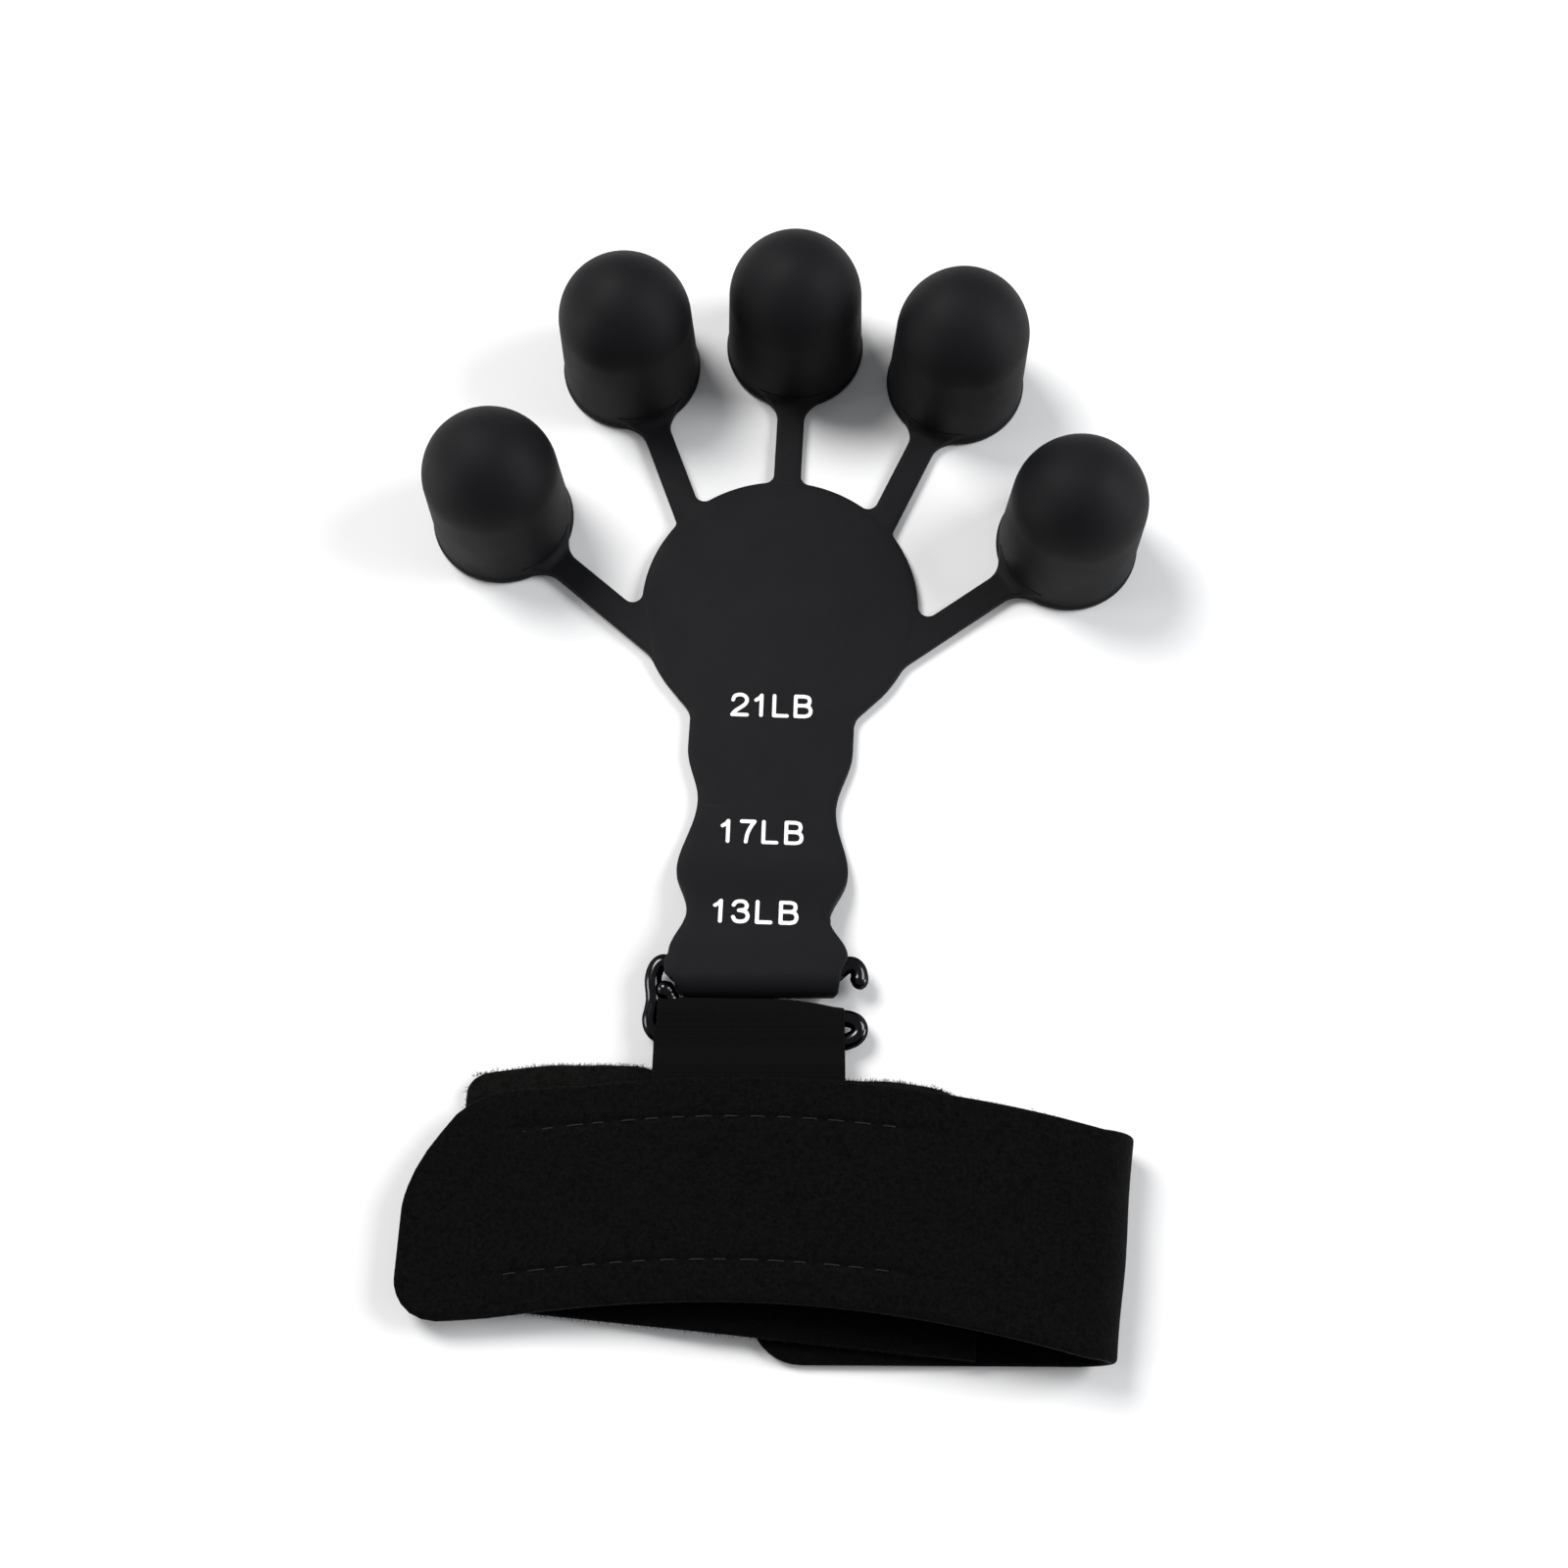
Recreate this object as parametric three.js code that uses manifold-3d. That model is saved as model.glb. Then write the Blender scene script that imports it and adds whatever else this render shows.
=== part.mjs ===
// Finger exerciser: a flat moulded silicone hand with five finger cups, hooked by a bent
// wire to an elastic loop on a wrist strap. Millimetres, +Z up. The origin is the centre of
// the palm disc's underside, +Y points to the fingers, and everything lies on z = 0.
import * as THREE from 'three';
import { mergeVertices } from 'three/addons/utils/BufferGeometryUtils.js';
import Module from 'manifold-3d';

// ---------- driving dimensions ----------

const GAP = 0.3; // clearance between neighbouring pieces
const RAD = Math.PI / 180;

// silicone moulding
const SHEET = 1.8; // thickness of palm, arm and strips
const PALM_R = 25;
const STRIP_W = 5;
const FAN_Y = -PALM_R; // the five strips point away from this point on the palm's rim
const FINGERS = [
  { name: 'far_left', angle: -52, reach: 65.6 },
  { name: 'left', angle: -22.7, reach: 79 },
  { name: 'middle', angle: 0, reach: 79 },
  { name: 'right', angle: 22.7, reach: 79 },
  { name: 'far_right', angle: 52, reach: 65.6 },
];
const ROOT_LENGTH = 1.6; // stub between the palm's rim and the strip's flex line

// finger cup
const CUP_BASE_R = 12.6;
const CUP_DOME_R = 12;
const CUP_DOME_Z = 17.8; // height of the dome's centre
const CUP_LIP = 0.25; // the rim stands out this far
const CUP_LIP_H = 1.4;
const CUP_WALL = 2.2;
const FLARE = 16; // the strip starts to widen this far from the cup's centre
const FLARE_ANGLE = 30; // where the flare runs into the cup, either side of the strip

// arm with its three load notches: half widths at the bulges and waists
const ARM_LEFT = [
  [-27.5, 14.8], [-37.5, 12.45], [-50.2, 15.2], [-58.4, 12.8], [-64.9, 15.3], [-68.2, 12.4],
];
const ARM_RIGHT = [
  [-27, 14.35], [-38, 11.85], [-49.8, 14.4], [-59.2, 11.6], [-66, 14.9], [-68.6, 13.0],
];
const NECK = { left: 14.8, right: 14.35, corner: -21, round: 1.6 }; // where the arm leaves the palm
const PALM_FLEX_Y = -28;
const ARM_SPLIT_Y = -50;
const ARM_FLAT_Y = -44; // the arm lies flat from here to the palm
const ARM_HIGH_Y = -64.2; // and is raised over its own folded end from here to the bar
const TAIL_Y = -56; // the folded end stops here

// bent wire, in the hook's frame: u along the bars, w towards the hand
const HOOK_Y = -67.6;
const HOOK_TURN = 3 * RAD;
const WIRE_R = 1.35;
const BAR_A = { w: -1, z: 3.45 }; // carries the arm
const WIRE_SLOPE = 0.075; // the wire's plane falls towards the strap
const WIRE_ROUTE = [
  [16.35, -3.1], [17, -1.95], [17.2, -0.65], [16.75, 0.55], [15.7, 1.05], [14.65, 0.6],
  [14.15, -0.2], [13.55, -0.8], [12.6, -1], [6, -1], [0, -1], [-6, -1], [-12.2, -1],
  [-13.2, -0.72], [-13.8, -0.05], [-14.2, 0.8], [-14.8, 1.5], [-15.7, 1.8], [-16.65, 1.5],
  [-17.35, 0.75], [-17.8, -0.2], [-18.05, -1.3], [-18.15, -2.5], [-18.1, -3.9], [-18.05, -5.3],
  [-18.1, -6.7], [-18.2, -8.1], [-18, -9.3], [-17.4, -10.3], [-16.1, -11.1], [-13.5, -11.5],
  [-6, -11.65], [0, -11.75], [6, -11.95], [11, -12.15], [13.4, -12.15], [14.75, -11.9],
  [15.9, -11.35], [16.75, -10.55], [16.95, -9.5], [16.35, -8.65], [15.2, -8.3], [13.4, -8.1],
  [10.5, -7.5], [6, -7.15], [0, -7.1], [-6, -7.1], [-11.4, -7.1], [-13.05, -6.7], [-14.35, -5.55],
  [-14.9, -4.3], [-15, -3.3],
];

// elastic
const PLY = 0.8;
const SLEEVE_GAP = 0.2; // round the wire
const BAR_B_W = -7.1;
const ELASTIC_U = [-17.5, 14.4];
const POCKET_END_W = -14.0;
const ELASTIC_FLEX = { w: -16.3, z: 5.2 };
const ELASTIC_END_W = -31;
const CORNER_CUT = { u: -11.3, w: -9 }; // room for the wire's curled end

// wrist strap
const STRAP = 2; // thickness
const STRAP_HALF = 17.8; // half its width
const FOLD_X = 61.45; // outermost face of the right-hand fold
const FOLD_Z = 5.6;
const FOLD_LEAN = 0.077; // the fold leans this much from +Y towards +X
const ARCH = { x: 5, y: -104.5, r: 230 }; // middle line of the upper layer
const TONGUE_TIP_X = -55.6;
const TIP_CORNERS = [19, 9]; // far and near corner of the tongue's rounded tip
const TONGUE_Z = [
  [55.85, 10.2], [35, 10.8], [15, 10.8], [-5, 9.2],
  [-22, 6.6], [-36, 4.9], [-47, 4.5], [-55.6, 4.4],
];
const HOOK_PATCH = { x0: -51, x1: -34, half: 12, t: 0.9 };
const LOWER_END_X = 1.5;
const LOWER_CORNER = 9;
const LOWER_Y = -111;
const LOWER_FALL = 0.045;
const PANEL_X = [-47.5, 38];
const PANEL_TOP = { x: -12, y: -84.8, r: 150 };
const PANEL_BOTTOM = { y: -127.2, slope: -0.0525 };
const PANEL_RISE_X = [-30, -4]; // it climbs over the lower layer between these

// ---------- materials ----------

const silicone = () => new THREE.MeshStandardMaterial({ color: 0x1b1c1f, roughness: 0.62, metalness: 0 });
const wire = () => new THREE.MeshStandardMaterial({ color: 0x101012, roughness: 0.22, metalness: 0.6 });
const elastic = () => new THREE.MeshStandardMaterial({ color: 0x111114, roughness: 0.9, metalness: 0 });
const fabric = () => new THREE.MeshStandardMaterial({ color: 0x0c0c0d, roughness: 0.96, metalness: 0 });
const hookTape = () => new THREE.MeshStandardMaterial({ color: 0x161617, roughness: 0.7, metalness: 0 });

const exerciser = new THREE.Group();

function add(name, geometry, material, parent = exerciser) {
  const mesh = new THREE.Mesh(geometry, material);
  mesh.name = name;
  parent.add(mesh);
  return mesh;
}

// ---------- solid modelling helpers ----------

const wasm = await Module();
wasm.setup();

function toSolid(geometry) {
  const bare = geometry.clone();
  bare.deleteAttribute('normal');
  bare.deleteAttribute('uv');
  const merged = mergeVertices(bare, 1e-4);
  const vertProperties = new Float32Array(merged.attributes.position.array);
  const triVerts = new Uint32Array(merged.index.array);
  return new wasm.Manifold(new wasm.Mesh({ numProp: 3, vertProperties, triVerts }));
}

function toGeometry(solid) {
  const mesh = solid.getMesh();
  const geometry = new THREE.BufferGeometry();
  geometry.setAttribute('position', new THREE.BufferAttribute(mesh.vertProperties, 3));
  geometry.setIndex(new THREE.BufferAttribute(mesh.triVerts, 1));
  geometry.computeVertexNormals();
  return geometry;
}

function prism(shape, depth, curveSegments = 8) {
  return new THREE.ExtrudeGeometry(shape, { depth, bevelEnabled: false, curveSegments });
}

function signedVolume(positions, index) {
  const corner = (i) => new THREE.Vector3().fromArray(positions, 3 * index[i]);
  let total = 0;
  for (let i = 0; i < index.length; i += 3) {
    total += corner(i).dot(corner(i + 1).cross(corner(i + 2)));
  }
  return total / 6;
}

// A closed sheet: each row is a list of {p, n}, the middle of the sheet and its normal.
function sheet(rows, thickness) {
  const columns = rows[0].length;
  const count = rows.length * columns;
  const positions = [];
  for (const side of [0.5, -0.5]) {
    for (const row of rows) {
      for (const { p, n } of row) positions.push(...p.clone().addScaledVector(n, side * thickness));
    }
  }
  const index = [];
  const quad = (a, b, c, d) => index.push(a, b, c, a, c, d);
  const at = (i, j, side) => side * count + i * columns + j;
  for (let i = 0; i < rows.length - 1; i++) {
    for (let j = 0; j < columns - 1; j++) {
      quad(at(i, j, 0), at(i + 1, j, 0), at(i + 1, j + 1, 0), at(i, j + 1, 0));
      quad(at(i, j, 1), at(i, j + 1, 1), at(i + 1, j + 1, 1), at(i + 1, j, 1));
    }
    quad(at(i, 0, 0), at(i, 0, 1), at(i + 1, 0, 1), at(i + 1, 0, 0));
    quad(at(i, columns - 1, 0), at(i + 1, columns - 1, 0), at(i + 1, columns - 1, 1), at(i, columns - 1, 1));
  }
  const last = rows.length - 1;
  for (let j = 0; j < columns - 1; j++) {
    quad(at(0, j, 0), at(0, j + 1, 0), at(0, j + 1, 1), at(0, j, 1));
    quad(at(last, j, 0), at(last, j, 1), at(last, j + 1, 1), at(last, j + 1, 0));
  }
  const geometry = new THREE.BufferGeometry();
  geometry.setAttribute('position', new THREE.Float32BufferAttribute(positions, 3));
  geometry.setIndex(signedVolume(positions, index) < 0 ? index.reverse() : index);
  geometry.computeVertexNormals();
  return geometry;
}

// Straight from one value to the next of a list of [position, value] pairs, eased at each pair.
function eased(pairs, x) {
  const rising = pairs[0][0] < pairs[pairs.length - 1][0];
  const list = rising ? pairs : [...pairs].reverse();
  if (x <= list[0][0]) return list[0][1];
  for (let i = 1; i < list.length; i++) {
    if (x <= list[i][0]) {
      const t = (x - list[i - 1][0]) / (list[i][0] - list[i - 1][0]);
      return list[i - 1][1] + (list[i][1] - list[i - 1][1]) * (1 - Math.cos(Math.PI * t)) / 2;
    }
  }
  return list[list.length - 1][1];
}

function spread(from, to, steps) {
  return Array.from({ length: steps + 1 }, (_, i) => from + (to - from) * i / steps);
}

// Values that crowd towards the first end, as the points of a rounded corner do.
function crowded(from, to, steps) {
  const share = (i) => 1 - Math.cos(Math.PI * i / steps / 2);
  return Array.from({ length: steps + 1 }, (_, i) => from + (to - from) * share(i));
}

// ---------- palm ----------

const filletX = 19.2; // the neck's fillet leaves the palm's rim here
const filletAngle = Math.acos(filletX / PALM_R);

function palmOutline() {
  const shape = new THREE.Shape();
  const rimY = -PALM_R * Math.sin(filletAngle);
  const start = (half) => NECK.corner + (rimY - NECK.corner) * NECK.round / (filletX - half) / 1.6;
  const startX = (half) => half + NECK.round / 1.6;
  shape.moveTo(NECK.right, PALM_FLEX_Y);
  shape.lineTo(NECK.right, NECK.corner - NECK.round);
  shape.quadraticCurveTo(NECK.right, NECK.corner, startX(NECK.right), start(NECK.right));
  shape.lineTo(filletX, rimY);
  shape.absarc(0, 0, PALM_R, -filletAngle, Math.PI + filletAngle, false);
  shape.lineTo(-startX(NECK.left), start(NECK.left));
  shape.quadraticCurveTo(-NECK.left, NECK.corner, -NECK.left, NECK.corner - NECK.round);
  shape.lineTo(-NECK.left, PALM_FLEX_Y);
  return shape;
}

// Distances along a strip, measured from the fan's centre.
function stations(finger) {
  const a = Math.abs(finger.angle) * RAD;
  const rim = 2 * PALM_R * Math.cos(a);
  const flex = rim + ROOT_LENGTH + (STRIP_W / 2) * Math.tan(a);
  return { rim, flex, flare: finger.reach - FLARE };
}

// Geometry drawn with +Y along a strip from the fan's centre is turned to that strip's place.
function alongStrip(geometry, finger) {
  geometry.rotateZ(-finger.angle * RAD);
  geometry.translate(0, FAN_Y, 0);
  return geometry;
}

function stripRoot(finger) {
  const { rim, flex } = stations(finger);
  const from = rim - STRIP_W;
  const to = flex - SHEET / 2 - GAP;
  const geometry = new THREE.BoxGeometry(STRIP_W, to - from, SHEET);
  geometry.translate(0, (from + to) / 2, SHEET / 2);
  return alongStrip(geometry, finger);
}

// The rounded end that the palm turns on where it meets the arm.
function palmNose() {
  const geometry = new THREE.CylinderGeometry(SHEET / 2, SHEET / 2, NECK.left + NECK.right, 16);
  geometry.rotateZ(Math.PI / 2);
  geometry.translate((NECK.right - NECK.left) / 2, PALM_FLEX_Y, SHEET / 2);
  return geometry;
}

let palm = toSolid(prism(palmOutline(), SHEET, 32)).add(toSolid(palmNose()));
for (const finger of FINGERS) palm = palm.add(toSolid(stripRoot(finger)));
add('palm_pad', toGeometry(palm), silicone());

// ---------- strips and finger cups ----------

// A bar seen from its side: round at its flex line, square where it meets the flare.
function fingerStrip(finger) {
  const { flex, flare } = stations(finger);
  const side = new THREE.Shape();
  side.moveTo(flare - GAP / 2, SHEET);
  side.lineTo(flex, SHEET);
  side.absarc(flex, SHEET / 2, SHEET / 2, Math.PI / 2, Math.PI * 1.5, false);
  side.lineTo(flare - GAP / 2, 0);
  const geometry = prism(side, STRIP_W, 6);
  geometry.translate(0, 0, -STRIP_W / 2);
  geometry.rotateX(Math.PI / 2);
  geometry.rotateZ(Math.PI / 2);
  return alongStrip(geometry, finger);
}

function cupProfile() {
  const inner = CUP_DOME_R - CUP_WALL;
  const points = [];
  points.push(new THREE.Vector2(CUP_BASE_R - CUP_WALL, 0));
  points.push(new THREE.Vector2(CUP_BASE_R + CUP_LIP, 0));
  points.push(new THREE.Vector2(CUP_BASE_R + CUP_LIP, CUP_LIP_H));
  points.push(new THREE.Vector2(CUP_BASE_R, CUP_LIP_H));
  const dome = (radius, t) => points.push(new THREE.Vector2(
    radius * Math.cos(t * RAD),
    CUP_DOME_Z + radius * Math.sin(t * RAD),
  ));
  for (const t of spread(0, 90, 6)) dome(CUP_DOME_R, t);
  for (const t of spread(90, 0, 4)) dome(inner, t);
  points.push(points[0].clone());
  for (const p of points) if (p.x < 1e-6) p.x = 0;
  return points;
}

// The flat web that widens from the strip into the cup's rim.
function flareOutline() {
  const half = STRIP_W / 2;
  const x = CUP_BASE_R * Math.sin(FLARE_ANGLE * RAD);
  const y = -CUP_BASE_R * Math.cos(FLARE_ANGLE * RAD);
  const bendY = y - (x - half) * Math.tan(FLARE_ANGLE * RAD);
  const shape = new THREE.Shape();
  shape.moveTo(half, -FLARE + GAP / 2);
  shape.quadraticCurveTo(half, bendY, x, y);
  shape.lineTo(-x, y);
  shape.quadraticCurveTo(-half, bendY, -half, -FLARE + GAP / 2);
  return shape;
}

function fingerCup(finger) {
  const shell = new THREE.LatheGeometry(cupProfile(), 24);
  shell.rotateX(Math.PI / 2);
  const solid = toSolid(shell).add(toSolid(prism(flareOutline(), SHEET, 5)));
  const geometry = toGeometry(solid);
  geometry.translate(0, finger.reach, 0);
  return alongStrip(geometry, finger);
}

for (const finger of FINGERS) {
  add(`strip_${finger.name}`, fingerStrip(finger), silicone());
  add(`cup_${finger.name}`, fingerCup(finger), silicone());
}

// ---------- arm ----------

const skew = Math.tan(HOOK_TURN);
const barA = {
  x: -Math.sin(HOOK_TURN) * BAR_A.w,
  y: HOOK_Y + Math.cos(HOOK_TURN) * BAR_A.w,
};
const rollR = WIRE_R + GAP + SHEET / 2; // middle of the sheet where it wraps the bar

function armZ(y) {
  return eased([[ARM_FLAT_Y, SHEET / 2], [ARM_HIGH_Y, BAR_A.z + rollR]], y);
}

const armSides = (y) => [eased(ARM_LEFT, y), eased(ARM_RIGHT, y)];

// One row across the arm. Near the bar its rows turn to lie along the bar.
function armRow(y, z, ny, nz, [left, right], turn) {
  return [0, 0.25, 0.5, 0.75, 1].map((v) => {
    const x = (left + right) * v - left;
    return { p: new THREE.Vector3(x, y + turn * skew * x, z), n: new THREE.Vector3(0, ny, nz) };
  });
}

function flatRow(y) {
  const slope = (armZ(y + 0.05) - armZ(y - 0.05)) / 0.1;
  const length = Math.hypot(1, slope);
  const turn = eased([[ARM_SPLIT_Y - 4, 0], [ARM_HIGH_Y, 1]], y);
  return armRow(y, armZ(y), -slope / length, 1 / length, armSides(y), turn);
}

function armUpper() {
  const ends = [PALM_FLEX_Y - SHEET / 2 - GAP, ARM_SPLIT_Y + GAP / 2];
  return sheet(spread(ends[0], ends[1], 18).map(flatRow), SHEET);
}

function armLower() {
  const rows = spread(ARM_SPLIT_Y - GAP / 2, ARM_HIGH_Y, 14).map(flatRow);
  for (const y of [-65, -65.9, -66.8, -67.7]) {
    rows.push(armRow(y, BAR_A.z + rollR, 0, 1, armSides(y), 1));
  }
  const rollSides = armSides(barA.y);
  for (const t of spread(90, 270, 12)) {
    const c = Math.cos(t * RAD);
    const s = Math.sin(t * RAD);
    rows.push(armRow(barA.y + rollR * c, BAR_A.z + rollR * s, c, s, rollSides, 1));
  }
  const tail = [[barA.y + 3, 12.6], [TAIL_Y - 3.5, 12.4], [TAIL_Y - 1.2, 11.5], [TAIL_Y, 9.2]];
  for (const [y, half] of tail) rows.push(armRow(y, SHEET / 2, 0, -1, [half, half], 1));
  return sheet(rows, SHEET);
}

add('arm_upper', armUpper(), silicone());
add('arm_lower', armLower(), silicone());

// ---------- wire and elastic, in the hook's own frame ----------

const hookFrame = new THREE.Group();
hookFrame.position.set(0, HOOK_Y, 0);
hookFrame.rotation.z = HOOK_TURN;
exerciser.add(hookFrame);

const wireZ = (w) => BAR_A.z + WIRE_SLOPE * (w - BAR_A.w);

function doubleHook() {
  const points = WIRE_ROUTE.map(([u, w]) => new THREE.Vector3(u, w, wireZ(w)));
  const route = new THREE.CatmullRomCurve3(points, false, 'centripetal');
  const section = new THREE.Shape();
  section.absarc(0, 0, WIRE_R, 0, Math.PI * 2, false);
  return new THREE.ExtrudeGeometry(section, { steps: 120, curveSegments: 4, extrudePath: route });
}

add('double_hook', doubleHook(), wire(), hookFrame);

// Side view of the loop: two plies round the wire's lower bars, joined into one web.
function loopOutline() {
  const outer = WIRE_R + SLEEVE_GAP + PLY;
  const inner = WIRE_R + SLEEVE_GAP;
  const { w, z } = ELASTIC_FLEX;
  const shape = new THREE.Shape();
  shape.absarc(w, z, PLY, Math.PI / 2, Math.PI * 1.5, false);
  shape.lineTo(POCKET_END_W - PLY, wireZ(POCKET_END_W) - outer + PLY);
  shape.lineTo(POCKET_END_W, wireZ(POCKET_END_W) - outer);
  shape.absarc(BAR_B_W, wireZ(BAR_B_W), outer, -Math.PI / 2, Math.PI / 2, false);
  shape.lineTo(POCKET_END_W, wireZ(POCKET_END_W) + outer);
  const pocket = new THREE.Path();
  pocket.moveTo(POCKET_END_W, wireZ(POCKET_END_W) - inner);
  pocket.lineTo(BAR_B_W, wireZ(BAR_B_W) - inner);
  pocket.absarc(BAR_B_W, wireZ(BAR_B_W), inner, -Math.PI / 2, Math.PI / 2, false);
  pocket.lineTo(POCKET_END_W, wireZ(POCKET_END_W) + inner);
  shape.holes.push(pocket);
  return shape;
}

// Turns a side view drawn in w and z into a solid that runs along u.
function alongBars(shape, u0, u1) {
  const geometry = prism(shape, u1 - u0, 8);
  geometry.rotateX(Math.PI / 2);
  geometry.rotateZ(Math.PI / 2);
  geometry.translate(u0, 0, 0);
  return geometry;
}

function elasticLoop() {
  const loop = toSolid(alongBars(loopOutline(), ...ELASTIC_U));
  const corner = new THREE.BoxGeometry(20, 20, 20);
  corner.translate(CORNER_CUT.u - 10, CORNER_CUT.w + 10, 0);
  return toGeometry(loop.subtract(toSolid(corner)));
}

function elasticBase() {
  const front = ELASTIC_FLEX.w - PLY - GAP;
  const geometry = new THREE.BoxGeometry(ELASTIC_U[1] - ELASTIC_U[0], front - ELASTIC_END_W, 2 * PLY);
  geometry.translate((ELASTIC_U[0] + ELASTIC_U[1]) / 2, (front + ELASTIC_END_W) / 2, ELASTIC_FLEX.z);
  return geometry;
}

add('elastic_loop', elasticLoop(), elastic(), hookFrame);
add('elastic_base', elasticBase(), elastic(), hookFrame);

// ---------- wrist strap ----------

// One row across a strap, from its far edge to its near one.
function strapRow(x, z, nx, nz, far, near, lean) {
  const middle = (far + near) / 2;
  return [0, 0.33, 0.67, 1].map((t) => {
    const y = near + (far - near) * t;
    return { p: new THREE.Vector3(x + lean * (y - middle), y, z), n: new THREE.Vector3(nx, 0, nz) };
  });
}

// How much a rounded corner takes off the edge, a given distance in from the strap's end.
function cornerCut(radius, distance) {
  const d = Math.max(0, radius - distance);
  return radius - Math.sqrt(Math.max(0, radius * radius - d * d));
}

const tongueCurve = new THREE.CatmullRomCurve3(TONGUE_Z.map(([x, z]) => new THREE.Vector3(x, 0, z)));
const archY = (x) => ARCH.y - (x - ARCH.x) ** 2 / (2 * ARCH.r);
const leanAt = (x) => FOLD_LEAN * eased([[0, 0], [50, 1]], x);
const foldX = FOLD_X - FOLD_Z; // centre of the fold
const foldR = FOLD_Z - STRAP / 2;

function foldRow(degrees, middle) {
  const c = Math.cos(degrees * RAD);
  const s = Math.sin(degrees * RAD);
  const far = middle + STRAP_HALF;
  const near = middle - STRAP_HALF;
  return strapRow(foldX + foldR * c, FOLD_Z + foldR * s, c, s, far, near, FOLD_LEAN);
}

// Where along its curve the upper layer reaches a given x.
function curveAt(x) {
  let low = 0;
  let high = 1;
  for (let i = 0; i < 30; i++) {
    const t = (low + high) / 2;
    if (tongueCurve.getPoint(t).x > x) low = t;
    else high = t;
  }
  return (low + high) / 2;
}

// A row of the upper layer, or of a layer shifted along the upper layer's normal.
function tongueRow(x, far, near, shift) {
  const t = curveAt(x);
  const p = tongueCurve.getPoint(t);
  const tangent = tongueCurve.getTangent(t);
  const nx = tangent.z;
  const nz = -tangent.x;
  return strapRow(p.x + shift * nx, p.z + shift * nz, nx, nz, far, near, leanAt(p.x));
}

const gapAngle = (GAP / 2 / foldR) / RAD;

function strapTongue() {
  const rows = spread(gapAngle, 80, 5).map((a) => foldRow(a, archY(foldX)));
  const straight = spread(foldX, TONGUE_TIP_X + TIP_CORNERS[0], 16);
  const rounded = crowded(TONGUE_TIP_X, TONGUE_TIP_X + TIP_CORNERS[0], 8).reverse().slice(1);
  for (const x of [...straight, ...rounded]) {
    const far = archY(x) + STRAP_HALF - cornerCut(TIP_CORNERS[0], x - TONGUE_TIP_X);
    const near = archY(x) - STRAP_HALF + cornerCut(TIP_CORNERS[1], x - TONGUE_TIP_X);
    rows.push(tongueRow(x, far, near, 0));
  }
  return sheet(rows, STRAP);
}

function hookPatch() {
  const shift = -(STRAP / 2 + GAP + HOOK_PATCH.t / 2);
  const rows = spread(HOOK_PATCH.x1, HOOK_PATCH.x0, 5).map((x) => {
    const middle = archY(x);
    return tongueRow(x, middle + HOOK_PATCH.half, middle - HOOK_PATCH.half, shift);
  });
  return sheet(rows, HOOK_PATCH.t);
}

function lowerY(x) {
  return LOWER_Y - LOWER_FALL * (FOLD_X - x);
}

function strapLower() {
  const rows = spread(-gapAngle, -90, 6).map((a) => foldRow(a, lowerY(foldX)));
  const straight = spread(foldX - 4, LOWER_END_X + LOWER_CORNER, 5);
  const rounded = crowded(LOWER_END_X, LOWER_END_X + LOWER_CORNER, 6).reverse().slice(1);
  for (const x of [...straight, ...rounded]) {
    const half = STRAP_HALF - cornerCut(LOWER_CORNER, x - LOWER_END_X);
    rows.push(strapRow(x, STRAP / 2, 0, -1, lowerY(x) + half, lowerY(x) - half, leanAt(x)));
  }
  return sheet(rows, STRAP);
}

function strapPanel() {
  const low = STRAP / 2;
  const high = STRAP * 1.5 + GAP;
  const rows = spread(PANEL_X[1], PANEL_X[0], 24).map((x) => {
    const z = eased([[PANEL_RISE_X[0], low], [PANEL_RISE_X[1], high]], x);
    const far = PANEL_TOP.y - (x - PANEL_TOP.x) ** 2 / (2 * PANEL_TOP.r);
    return strapRow(x, z, 0, 1, far, PANEL_BOTTOM.y + PANEL_BOTTOM.slope * x, 0);
  });
  return sheet(rows, STRAP);
}

add('strap_tongue', strapTongue(), fabric());
add('strap_hook_patch', hookPatch(), hookTape());
add('strap_lower', strapLower(), fabric());
add('strap_panel', strapPanel(), fabric());

export default exerciser;
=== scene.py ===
"""Looks of the finger exerciser: silicone hand, wire hook, elastic loop and wrist strap.

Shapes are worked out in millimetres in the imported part's frame and stored in metres.
"""

import math

import bmesh
import bpy
import numpy as np
from mathutils import Matrix, Vector
from mathutils.geometry import delaunay_2d_cdt


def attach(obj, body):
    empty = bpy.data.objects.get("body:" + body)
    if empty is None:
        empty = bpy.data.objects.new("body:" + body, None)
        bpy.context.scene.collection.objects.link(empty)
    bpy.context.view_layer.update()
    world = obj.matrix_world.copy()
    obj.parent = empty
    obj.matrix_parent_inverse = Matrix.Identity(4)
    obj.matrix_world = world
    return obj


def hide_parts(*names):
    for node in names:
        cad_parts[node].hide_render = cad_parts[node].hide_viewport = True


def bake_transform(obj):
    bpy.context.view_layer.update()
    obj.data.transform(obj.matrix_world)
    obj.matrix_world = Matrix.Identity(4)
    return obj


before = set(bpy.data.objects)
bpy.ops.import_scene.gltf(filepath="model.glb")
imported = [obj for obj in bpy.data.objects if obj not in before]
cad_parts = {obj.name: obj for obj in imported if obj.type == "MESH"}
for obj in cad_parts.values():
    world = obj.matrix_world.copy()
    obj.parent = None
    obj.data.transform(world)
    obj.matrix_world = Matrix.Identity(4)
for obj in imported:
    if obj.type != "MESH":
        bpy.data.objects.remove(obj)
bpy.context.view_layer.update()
RNG = np.random.default_rng(11)
RAD = math.pi / 180
UP, DOWN = np.array([0, 0, 1.0]), np.array([0, 0, -1.0])

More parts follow.
